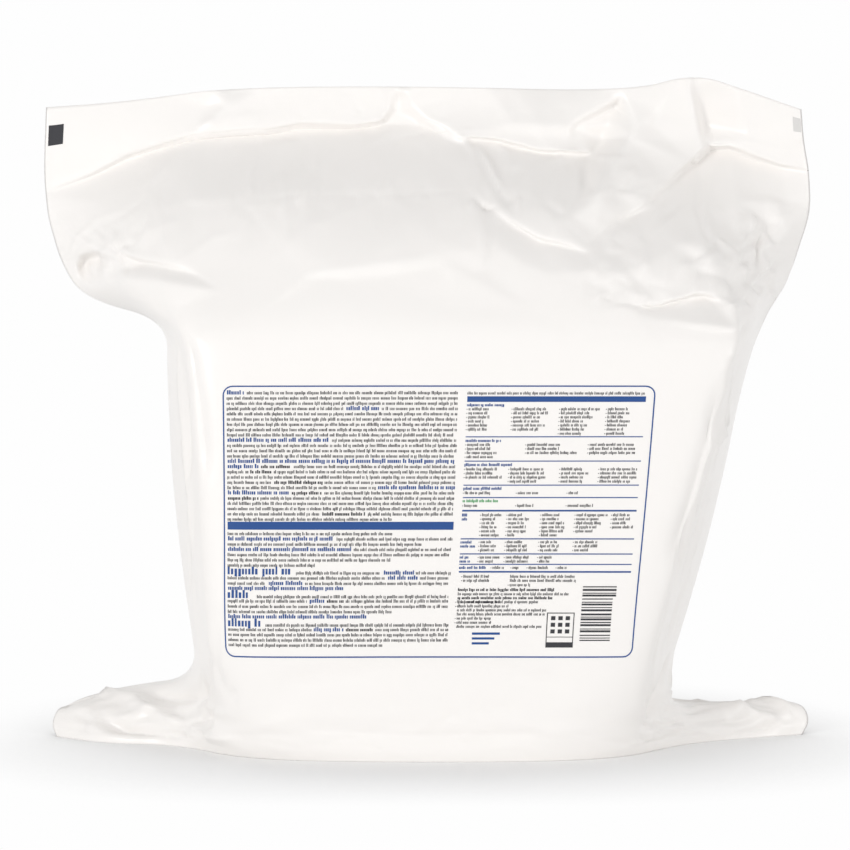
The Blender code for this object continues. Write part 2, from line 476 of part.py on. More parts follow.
def facet_heights(rows, across, folds):
    """How far the flat facets between the folds bring the film forwards."""
    corners, heights, links = [], [], []
    for fold in folds:
        for number, (place, row, height) in enumerate(fold):
            if number:
                links.append((len(corners) - 1, len(corners)))
            corners.append(Vector((place, row * ROW_PITCH)))
            heights.append(height)
    spots, edges, facets, origins = delaunay_2d_cdt(corners, links, [], 0, 0.001)[:4]
    level = [np.mean([heights[number] for number in origin]) if origin else None for origin in origins]
    for number in [number for number, origin in enumerate(origins) if not origin]:
        beside = [level[edge[0] if edge[1] == number else edge[1]] for edge in edges if number in edge]
        level[number] = np.mean([value for value in beside if value is not None])
    x, y = np.meshgrid(across / film, rows * ROW_PITCH)
    forward = np.zeros(x.shape)
    for facet in facets:
        (x0, y0), (x1, y1), (x2, y2) = [spots[corner] for corner in facet]
        size = (x1 - x0) * (y2 - y0) - (x2 - x0) * (y1 - y0)
        if abs(size) < 1e-8:
            continue
        s = ((x - x0) * (y2 - y0) - (x2 - x0) * (y - y0)) / size
        t = ((x1 - x0) * (y - y0) - (x - x0) * (y1 - y0)) / size
        inside = (s > -0.001) & (t > -0.001) & (s + t < 1.001)
        a, b, c = [level[corner] for corner in facet]
        forward[inside] = (a + (b - a) * s + (c - a) * t)[inside]
    return forward * FOLD


def outward(sheet, side):
    """The direction each point of a sheet faces."""
    normals = np.cross(np.gradient(sheet, axis=1), np.gradient(sheet, axis=0))
    normals /= np.linalg.norm(normals, axis=2, keepdims=True) + 1e-12
    return normals if side == 0 else -normals


def creased_film(rows, across):
    """The two sheets with their creases, joined at the folds and through the seal."""
    sheets = film_sheets(rows, across)
    moves = []
    for side, creases in enumerate((FRONT_CREASES, BACK_CREASES)):
        heights = crease_heights(sheets[side], creases, side)
        moves.append(outward(sheets[side], side) * heights[..., None])
        folds = facet_heights(rows, across, (FRONT_FOLDS, BACK_FOLDS)[side])
        moves[side][..., 1] += folds * (-1, 1)[side]
    sealed = np.clip((rows - 12.4) / 0.6, 0, 1)[:, None, None]
    moves[1] = moves[1] * (1 - sealed) + moves[0] * sealed
    above_floor = np.clip(rows / 1.5, 0, 1)[:, None, None]
    for side in (0, 1):
        moves[side][:, [0, -1]] = (moves[0][:, [0, -1]] + moves[1][:, [0, -1]]) / 2
        sheets[side] = sheets[side] + moves[side] * above_floor
        sheets[side][1:, :, 2] = np.maximum(sheets[side][1:, :, 2], 0.0008)
    upper = rows > 10
    sheets[1][upper, :, 1] = np.maximum(sheets[1][upper, :, 1], sheets[0][upper, :, 1])
    for side in (0, 1):
        sheets[side][:, 1:-1, 1] += (side - 0.5) * SEAL_THICKNESS
    return sheets


def row_at(height):
    """The row on the rails that crosses the middle of the front at a height."""
    rows = np.linspace(0, 14, 2801)
    return float(np.interp(height, up_rail(FRONT_MIDDLE, rows)[:, 2], rows))


def printed_fields():
    """Each printed field: left, right, low and high edges on the film, and its material."""
    edge = PANEL_WIDTH / 2
    line = edge - PANEL_LINE
    inner = line - PANEL_GAP
    low, high = PANEL_LOW + PANEL_LINE, PANEL_HIGH - PANEL_LINE
    text_low, text_high = low + PANEL_GAP, high - PANEL_GAP
    split = COLUMN_SPLIT + PANEL_GAP
    bar_high = LEFT_BAR_LOW + PANEL_BAR
    block_left = inner - BLOCK_WIDTH
    block_high = text_low + BLOCK_HEIGHT
    return [
        (-edge, edge, PANEL_LOW, low, "blue"), (-edge, edge, high, PANEL_HIGH, "blue"),
        (-edge, -line, low, high, "blue"), (line, edge, low, high, "blue"),
        (-inner, COLUMN_SPLIT, text_low, LEFT_BAR_LOW, "text"),
        (-inner, COLUMN_SPLIT, LEFT_BAR_LOW, bar_high, "blue"),
        (-inner, COLUMN_SPLIT, bar_high, text_high, "text"),
        (split, inner, text_high - PANEL_BAR, text_high, "blue"),
        (split, inner, block_high + PANEL_GAP, text_high - PANEL_BAR, "text"),
        (split, block_left - PANEL_GAP, text_low, block_high + PANEL_GAP, "text"),
        (block_left, inner, text_low, block_high, "dark"),
    ]


def filled(edges, step):
    """Lines at every edge, with even lines between them no further apart than the step."""
    edges = sorted(set(round(edge, 6) for edge in edges))
    lines = [edges[0]]
    for start, end in zip(edges, edges[1:]):
        count = max(1, int(np.ceil((end - start) / step - 1e-6)))
        lines += [start + (end - start) * part / count for part in range(1, count + 1)]
    return lines


def build_pouch():
    fields = printed_fields()
    mark = (-film + 0.004, -film + 0.004 + MARK_SIZE)
    across = filled([-film, film, 0.0, *mark] + [edge for field in fields for edge in field[:2]], 0.0074)
    heights = filled([edge for field in fields for edge in field[2:4]], 0.0085)
    below = [0, 0.6, 1, 1.6, 2.1, 2.6, 3.1, 3.6, 4.1]
    above = [7.5, 8, 8.5, 9, 9.3, 9.6, 9.85, 10.1, 10.35, 10.6, 10.85, 11.1, 11.35, 11.6, 11.85, 12.05,
             12.25, 12.5, 12.75, 13, 13.4, 14]
    rows = np.array(below + [row_at(height) for height in heights] + above)
    across = np.array(across)
    front_sheet, back_sheet = creased_film(rows, across)

    last = len(across) - 1
    ring = 2 * last
    points = np.concatenate([front_sheet, back_sheet[:, last - 1:0:-1]], axis=1).reshape(-1, 3)
    faces = []
    materials = []
    names = ["film", "blue", "text", "dark"]
    for row in range(len(rows) - 1):
        for column in range(ring):
            beside = (column + 1) % ring
            faces.append((row * ring + column, row * ring + beside,
                          (row + 1) * ring + beside, (row + 1) * ring + column))
            name = "film"
            if column < last:
                centre = (across[column] + across[column + 1]) / 2
                height = np.interp((rows[row] + rows[row + 1]) / 2, rows[len(below):-len(above)], heights)
                inside = len(below) <= row < len(rows) - len(above) - 1
                for field in fields:
                    if inside and field[0] < centre < field[1] and field[2] < height < field[3]:
                        name = field[4]
                if mark[0] < centre < mark[1] and rows[row] == 13:
                    name = "dark"
            materials.append(names.index(name))
    for row, facing_down in ((0, True), (len(rows) - 1, False)):
        for column in range(last):
            near, far = column, column + 1
            corners = [near, far, (ring - far) % ring, (ring - near) % ring]
            corners = [corner for place, corner in enumerate(corners) if corner not in corners[:place]]
            if facing_down:
                corners.reverse()
            faces.append([row * ring + corner for corner in corners])
            materials.append(0)

    mesh = bpy.data.meshes.new("pouch")
    mesh.from_pydata(points.tolist(), [], faces)
    colours = {"film": (0.90, 0.89, 0.87), "blue": (0.02, 0.08, 0.25),
               "text": (0.36, 0.38, 0.44), "dark": (0.03, 0.03, 0.05)}
    for name in names:
        material = bpy.data.materials.new("pouch_" + name)
        material.use_nodes = True
        shader = material.node_tree.nodes["Principled BSDF"]
        shader.inputs["Base Color"].default_value = (*colours[name], 1.0)
        shader.inputs["Roughness"].default_value = 0.35
        mesh.materials.append(material)
    mesh.polygons.foreach_set("material_index", materials)
    mesh.polygons.foreach_set("use_smooth", [True] * len(faces))
    mesh.update()
    pouch = bpy.data.objects.new("pouch", mesh)
    bpy.context.scene.collection.objects.link(pouch)
    return pouch


for item in list(bpy.data.objects):
    bpy.data.objects.remove(item)
build_pouch()
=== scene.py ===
"""The looks of a sealed film pouch with a roll of wet wipes inside, standing on a white table.

The pouch is one sheet of white polyethylene film. It is laid out here as a grid on the flat film,
carried onto the shape that the roll, the seals and the table give it, and then creased.
"""

import math

import bpy
import numpy as np
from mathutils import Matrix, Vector
from mathutils.geometry import delaunay_2d_cdt


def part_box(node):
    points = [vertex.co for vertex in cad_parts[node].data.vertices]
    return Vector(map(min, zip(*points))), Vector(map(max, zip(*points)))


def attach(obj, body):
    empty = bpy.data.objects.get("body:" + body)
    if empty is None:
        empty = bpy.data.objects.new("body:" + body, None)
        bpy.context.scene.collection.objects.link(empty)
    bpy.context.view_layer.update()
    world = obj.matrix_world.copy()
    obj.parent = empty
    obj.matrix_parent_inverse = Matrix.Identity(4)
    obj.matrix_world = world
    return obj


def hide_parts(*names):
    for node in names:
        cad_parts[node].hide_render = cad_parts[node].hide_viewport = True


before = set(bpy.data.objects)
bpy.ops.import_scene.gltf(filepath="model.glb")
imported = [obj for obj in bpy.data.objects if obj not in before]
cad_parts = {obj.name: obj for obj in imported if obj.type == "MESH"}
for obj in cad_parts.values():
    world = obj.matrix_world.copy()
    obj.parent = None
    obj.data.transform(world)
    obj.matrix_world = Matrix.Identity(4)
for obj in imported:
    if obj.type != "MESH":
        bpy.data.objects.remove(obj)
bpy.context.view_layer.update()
pouch_low, pouch_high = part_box("pouch")

MM = 0.001  # a millimetre

# Sizes of the pouch, in metres. The outer ones come from the frame.
film = (pouch_high[0] - pouch_low[0]) / 2 - 0.0008  # half the flat pouch, fold to middle
top = pouch_high[2] - 0.0025  # the seal in the middle; its peak on the right stands higher
roll = 0.101  # half the roll's width
middle = -0.008  # the roll sits a little in front of the seal
front = middle - 0.080
depth_centre = middle + 0.0035
rim = 0.191
foot = top - 0.014
left = -roll - 0.018
lean = 0.034
right = roll + lean + 0.015
ear = 0.022
seal_thickness = 0.0004

# The film is drawn along rails that run up its surface. Each row below is one height on a rail:
# floor, hem, ear outside, ear middle, ear root, three on the wall, rim, shoulder, three on the
# slope up to the valley, the foot of the seal and its top edge.
FRONT_MIDDLE = [
    (0.000, front + 0.003, 0.000),
    (0.000, front + 0.001, 0.005),
    (0.000, front, 0.012),
    (0.000, front, ear - 0.003),
    (0.000, front, ear + 0.008),
    (0.000, front, rim * 0.31),
    (0.0025, front, rim * 0.63),
    (0.005, front, rim - 0.019),
    (0.005, front + 0.001, rim),
    (0.004, front + 0.006, rim + 0.014),
    (0.003, front + 0.019, rim + 0.036),
    (0.001, front + 0.045, rim + 0.062),
    (0.000, 0.004, foot - 0.007),
    (0.000, 0.008, foot + 0.002),
    (0.000, 0.010, top),
]
LEFT_CORNER = [
    (-roll + 0.019, front + 0.010, 0.000),
    (-roll + 0.016, front + 0.006, 0.005),
    (-roll + 0.013, front + 0.003, 0.012),
    (-roll + 0.011, front + 0.002, ear - 0.003),
    (-roll + 0.008, front + 0.001, ear + 0.008),
    (-roll + 0.003, front, rim * 0.31),
    (-roll, front, rim * 0.63),
    (-roll - 0.004, front, rim - 0.019),
    (-roll - 0.007, front + 0.001, rim - 0.001),
    (-roll - 0.009, front + 0.008, rim + 0.011),
    (-roll - 0.012, front + 0.021, rim + 0.031),
    (-roll - 0.007, front + 0.046, rim + 0.058),
    (-film + 0.079, 0.004, foot - 0.009),
    (-film + 0.081, 0.007, foot - 0.001),
    (-film + 0.082, 0.012, top - 0.001),
]
LEFT_INNER = [
    (-roll - 0.013, front + 0.056, 0.000),
    (-roll - 0.013, front + 0.055, 0.004),
    (-roll - 0.012, front + 0.056, 0.010),
    (-roll - 0.007, front + 0.052, ear - 0.002),
    (-roll - 0.003, front + 0.042, ear + 0.010),
    (-roll - 0.006, front + 0.032, rim * 0.31),
    (left + 0.007, front + 0.030, rim * 0.63),
    (left + 0.006, front + 0.030, rim - 0.019),
    (left + 0.004, front + 0.030, rim + 0.001),
    (-film + 0.050, front + 0.036, rim + 0.013),
    (-film + 0.040, front + 0.045, rim + 0.032),
    (-film + 0.044, front + 0.062, rim + 0.056),
    (-film + 0.050, 0.004, foot - 0.018),
    (-film + 0.052, 0.006, foot - 0.005),
    (-film + 0.053, 0.010, top - 0.005),
]
LEFT_OUTER = [
    (-film + 0.028, front + 0.061, 0.000),
    (-film + 0.027, front + 0.062, 0.004),
    (-film + 0.028, front + 0.070, 0.012),
    (-roll - 0.033, front + 0.080, ear),
    (-roll - 0.007, front + 0.066, ear + 0.008),
    (-roll - 0.009, front + 0.056, rim * 0.31),
    (left + 0.001, front + 0.053, rim * 0.63),
    (left, front + 0.053, rim - 0.019),
    (left - 0.001, front + 0.054, rim + 0.003),
    (-film + 0.036, front + 0.062, rim + 0.017),
    (-film + 0.020, front + 0.070, rim + 0.035),
    (-film + 0.022, front + 0.080, rim + 0.056),
    (-film + 0.025, 0.003, foot - 0.026),
    (-film + 0.027, 0.006, foot - 0.012),
    (-film + 0.028, 0.008, top - 0.008),
]
LEFT_FOLD = [
    (-film + 0.004, -0.006, 0.000),
    (-film + 0.001, -0.004, 0.006),
    (-film + 0.006, 0.000, 0.016),
    (-roll - 0.039, 0.006, ear + 0.001),
    (-roll - 0.007, 0.004, ear + 0.005),
    (-roll - 0.010, middle, rim * 0.31),
    (left, middle - 0.004, rim * 0.63),
    (left - 0.002, middle - 0.004, rim - 0.019),
    (left - 0.002, middle - 0.002, rim + 0.005),
    (-film + 0.019, middle + 0.002, rim + 0.014),
    (-film + 0.006, middle + 0.006, rim + 0.032),
    (-film + 0.001, 0.002, rim + 0.052),
    (-film - 0.001, 0.004, foot - 0.034),
    (-film - 0.001, 0.005, foot - 0.020),
    (-film, 0.005, top - 0.010),
]
RIGHT_CORNER = [
    (roll - 0.017, front + 0.009, 0.000),
    (roll - 0.014, front + 0.006, 0.005),
    (roll - 0.011, front + 0.003, 0.012),
    (roll - 0.009, front + 0.002, ear - 0.003),
    (roll - 0.006, front + 0.001, ear + 0.008),
    (roll, front, rim * 0.31),
    (roll + lean * 0.59, front, rim * 0.63),
    (roll + lean * 0.92, front, rim - 0.019),
    (roll + lean + 0.003, front + 0.001, rim - 0.001),
    (roll + lean + 0.001, front + 0.009, rim + 0.011),
    (roll + lean - 0.008, front + 0.022, rim + 0.031),
    (roll + 0.011, front + 0.046, rim + 0.057),
    (film - 0.082, 0.004, foot - 0.018),
    (film - 0.084, 0.006, foot - 0.003),
    (film - 0.084, 0.010, top - 0.003),
]
RIGHT_INNER = [
    (roll + 0.015, front + 0.057, 0.000),
    (roll + 0.015, front + 0.056, 0.004),
    (roll + 0.014, front + 0.056, 0.010),
    (roll + 0.010, front + 0.052, ear - 0.009),
    (roll + 0.003, front + 0.040, ear + 0.003),
    (roll + 0.010, front + 0.030, rim * 0.31),
    (roll + lean * 0.78, front + 0.026, rim * 0.63),
    (right - 0.010, front + 0.026, rim - 0.019),
    (right - 0.003, front + 0.026, rim + 0.002),
    (right - 0.002, front + 0.032, rim + 0.013),
    (film - 0.036, front + 0.042, rim + 0.032),
    (film - 0.044, front + 0.062, rim + 0.056),
    (film - 0.050, 0.003, foot - 0.016),
    (film - 0.053, 0.006, foot),
    (film - 0.054, 0.006, top + 0.006),
]
RIGHT_OUTER = [
    (film - 0.032, front + 0.076, 0.000),
    (film - 0.030, front + 0.076, 0.004),
    (film - 0.032, front + 0.080, 0.012),
    (roll + 0.031, front + 0.082, ear - 0.009),
    (roll + 0.007, front + 0.064, ear - 0.003),
    (roll + 0.018, front + 0.054, rim * 0.31),
    (roll + lean * 0.95, front + 0.050, rim * 0.63),
    (right - 0.005, front + 0.052, rim - 0.019),
    (right + 0.001, front + 0.056, rim + 0.004),
    (right + 0.006, front + 0.060, rim + 0.015),
    (film - 0.020, front + 0.070, rim + 0.035),
    (film - 0.022, front + 0.080, rim + 0.057),
    (film - 0.028, 0.002, foot - 0.018),
    (film - 0.030, 0.005, foot - 0.006),
    (film - 0.030, 0.004, top - 0.002),
]
RIGHT_FOLD = [
    (film - 0.002, 0.000, 0.000),
    (film + 0.002, 0.002, 0.007),
    (film - 0.003, 0.005, 0.016),
    (roll + 0.041, 0.008, ear - 0.008),
    (roll + 0.006, 0.004, ear - 0.009),
    (roll + 0.020, middle, rim * 0.31),
    (roll + lean * 1.06, middle - 0.006, rim * 0.63),
    (right - 0.003, middle - 0.004, rim - 0.019),
    (right + 0.006, middle - 0.002, rim + 0.006),
    (right + 0.013, middle + 0.002, rim + 0.016),
    (film - 0.007, middle + 0.006, rim + 0.033),
    (film, 0.002, rim + 0.053),
    (film, 0.003, foot - 0.026),
    (film - 0.003, 0.004, foot - 0.012),
    (film - 0.004, 0.004, top - 0.011),
]

# The back of the pouch is the front turned round, with a rounder wall where the roll is not pressed
# flat. These say how far each back rail is drawn in towards the middle, and out to the back. The
# last two rows are the seal, where front and back lie together.
BACK_NARROW = [0.97, 0.96, 0.94, 0.92, 0.90, 0.86, 0.82, 0.80, 0.82, 0.88, 0.94, 1.0, 1.0, 1.0, 1.0]
BACK_BULGE = [-0.006, -0.002, 0.002, 0.003, 0.004, 0.008, 0.008, 0.006, 0.004, 0, 0, 0.003, 0.010, 0, 0]
ROLL_SHARE = [1, 1, 1, 1, 1, 1, 1, 1, 1, 0.7, 0.4, 0, 0, 0, 0]  # where the roll fills the film

# How much of the film beside each rail belongs to its bend: 0.5 is a soft curve, near 0 a fold.
SOFT = [0.5] * 15
CORNER_BEND = [0.5, 0.5, 0.5, 0.45, 0.38, 0.26, 0.20, 0.17, 0.20, 0.30, 0.45, 0.5, 0.5, 0.5, 0.5]
FOLD_BEND = [0.05, 0.05, 0.08, 0.14, 0.30, 0.45, 0.45, 0.45, 0.40, 0.16, 0.08, 0.05, 0.04, 0.03, 0.03]

FRONT_RAILS = [LEFT_FOLD, LEFT_OUTER, LEFT_INNER, LEFT_CORNER, FRONT_MIDDLE,
               RIGHT_CORNER, RIGHT_INNER, RIGHT_OUTER, RIGHT_FOLD]
FRONT_BENDS = [FOLD_BEND, SOFT, SOFT, CORNER_BEND, SOFT, CORNER_BEND, SOFT, SOFT, FOLD_BEND]

# How finely the film is laid out: columns across the front, and rows up each stretch of the rails.
COLUMNS = 296
ROW_STRETCHES = [(0, 4.5, 36), (4.5, 7.4, 30), (7.4, 9.0, 22), (9.0, 12.4, 80), (12.4, 14, 22)]
STEPS_PER_RAIL = 40  # how finely a section is measured from one rail to the next
HELD_WIDTH = 0.56  # from its middle out to this share, the front keeps the true width of the film

# The big creases, as height, reach to either side, and the points they run through. Height is in
# millimetres, above nought for a ridge; reach is in millimetres too. A point is the distance across
# the film from its middle in millimetres, and the row on the rails.
FRONT_CREASES = [
    # the ridge and the gathers across the slope
    (-0.4, 3, [(-89, 11), (-60, 11.1), (-23, 11.1), (20, 11.15)]),
    (2.2, 5, [(22, 11.95), (29, 11.5), (35, 11.05)]),
    (-2.0, 5, [(18, 11.1), (25, 10.9), (32, 10.95)]),
    (-1.5, 6, [(98, 11.7), (90, 11.4), (79, 11.15)]),
    (1.5, 6, [(-173, 11.1), (-165, 10.5), (-154, 10.15)]),
    # the fins beside the roll
    (-2.2, 8, [(-116, 8.55), (-112, 7.3), (-108, 6.7), (-104, 6.15)]),
    (2.0, 7, [(-129, 8.25), (-133, 6.85), (-126, 6.2), (-122, 5.5)]),
    (-1.6, 7, [(-114, 4.8), (-99, 4.45), (-92, 3.85), (-87, 3.5)]),
    (-3.6, 11, [(121, 7), (119, 6.5), (116, 6.2), (111, 5.8), (105, 5.45)]),
    (3.0, 7, [(137, 6.9), (136, 6.6), (121, 6.45), (117, 6.25)]),
    (-2.4, 8, [(117, 6), (115, 5.7), (115, 5.3)]),
    (-3.4, 9, [(139, 4.6), (130, 4.1), (110, 3.2), (100, 1.4)]),
    (2.4, 7, [(161, 4.6), (160, 4.15), (124, 3.5)]),
    # the foot of the wall
    (-1.6, 12, [(-70, 4.15), (-22, 4.45), (32, 4.4), (67, 4.15)]),
    (-1.4, 9, [(-57, 2.45), (-4, 2.05), (59, 2.25)]),
    # the ears on the floor
    (3.2, 7, [(-178, 2.6), (-162, 2.75), (-137, 2.3), (-110, 1.75), (-86, 1.55)]),
    (-5.5, 10, [(-114, 4.05), (-131, 3.2), (-146, 3.1), (-169, 3.1)]),
    (-5.0, 10, [(-103, 3.1), (-116, 2.4), (-126, 2.1), (-143, 2.6)]),
    (-3.6, 7, [(-170, 2.05), (-154, 1.7), (-143, 1.25), (-129, 0.75), (-119, 0.7)]),
    (-3.0, 5, [(-178, 1.9), (-178, 2.3), (-178, 2.55)]),
    (2.4, 5, [(-174, 1.65), (-166, 1.95), (-156, 1.75)]),
    (-2.4, 6, [(-168, 1.95), (-162, 1.45), (-160, 0.2)]),
    (3.0, 7, [(117, 3.75), (156, 3.1), (158, 2.15), (166, 1), (174, 0.2)]),
    (-4.0, 8, [(111, 3.85), (129, 3.5), (127, 2.95)]),
    (-3.0, 5, [(138, 3.2), (149, 3.3), (165, 3.4)]),
    (-4.5, 8, [(143, 0.25), (154, 0.55), (166, 1), (170, 1.25)]),
    (3.0, 6, [(150, 1.8), (163, 2.45), (178, 2.5), (173, 1.85), (175, 1.15)]),
    (-4.0, 7, [(152, 1.7), (161, 2.05), (165, 1.7), (168, 1.3)]),
]


def folded_edges(side_rows):
    """The edges of the folded part of a sheet: the rim, and the two side folds of the film."""
    rim_line = [(place, 8.3, 0) for place in (-178, -120, -60, 0, 60, 120, 178)]
    return [rim_line] + [[(place, row, 0) for row in side_rows] for place in (-178, 178)]


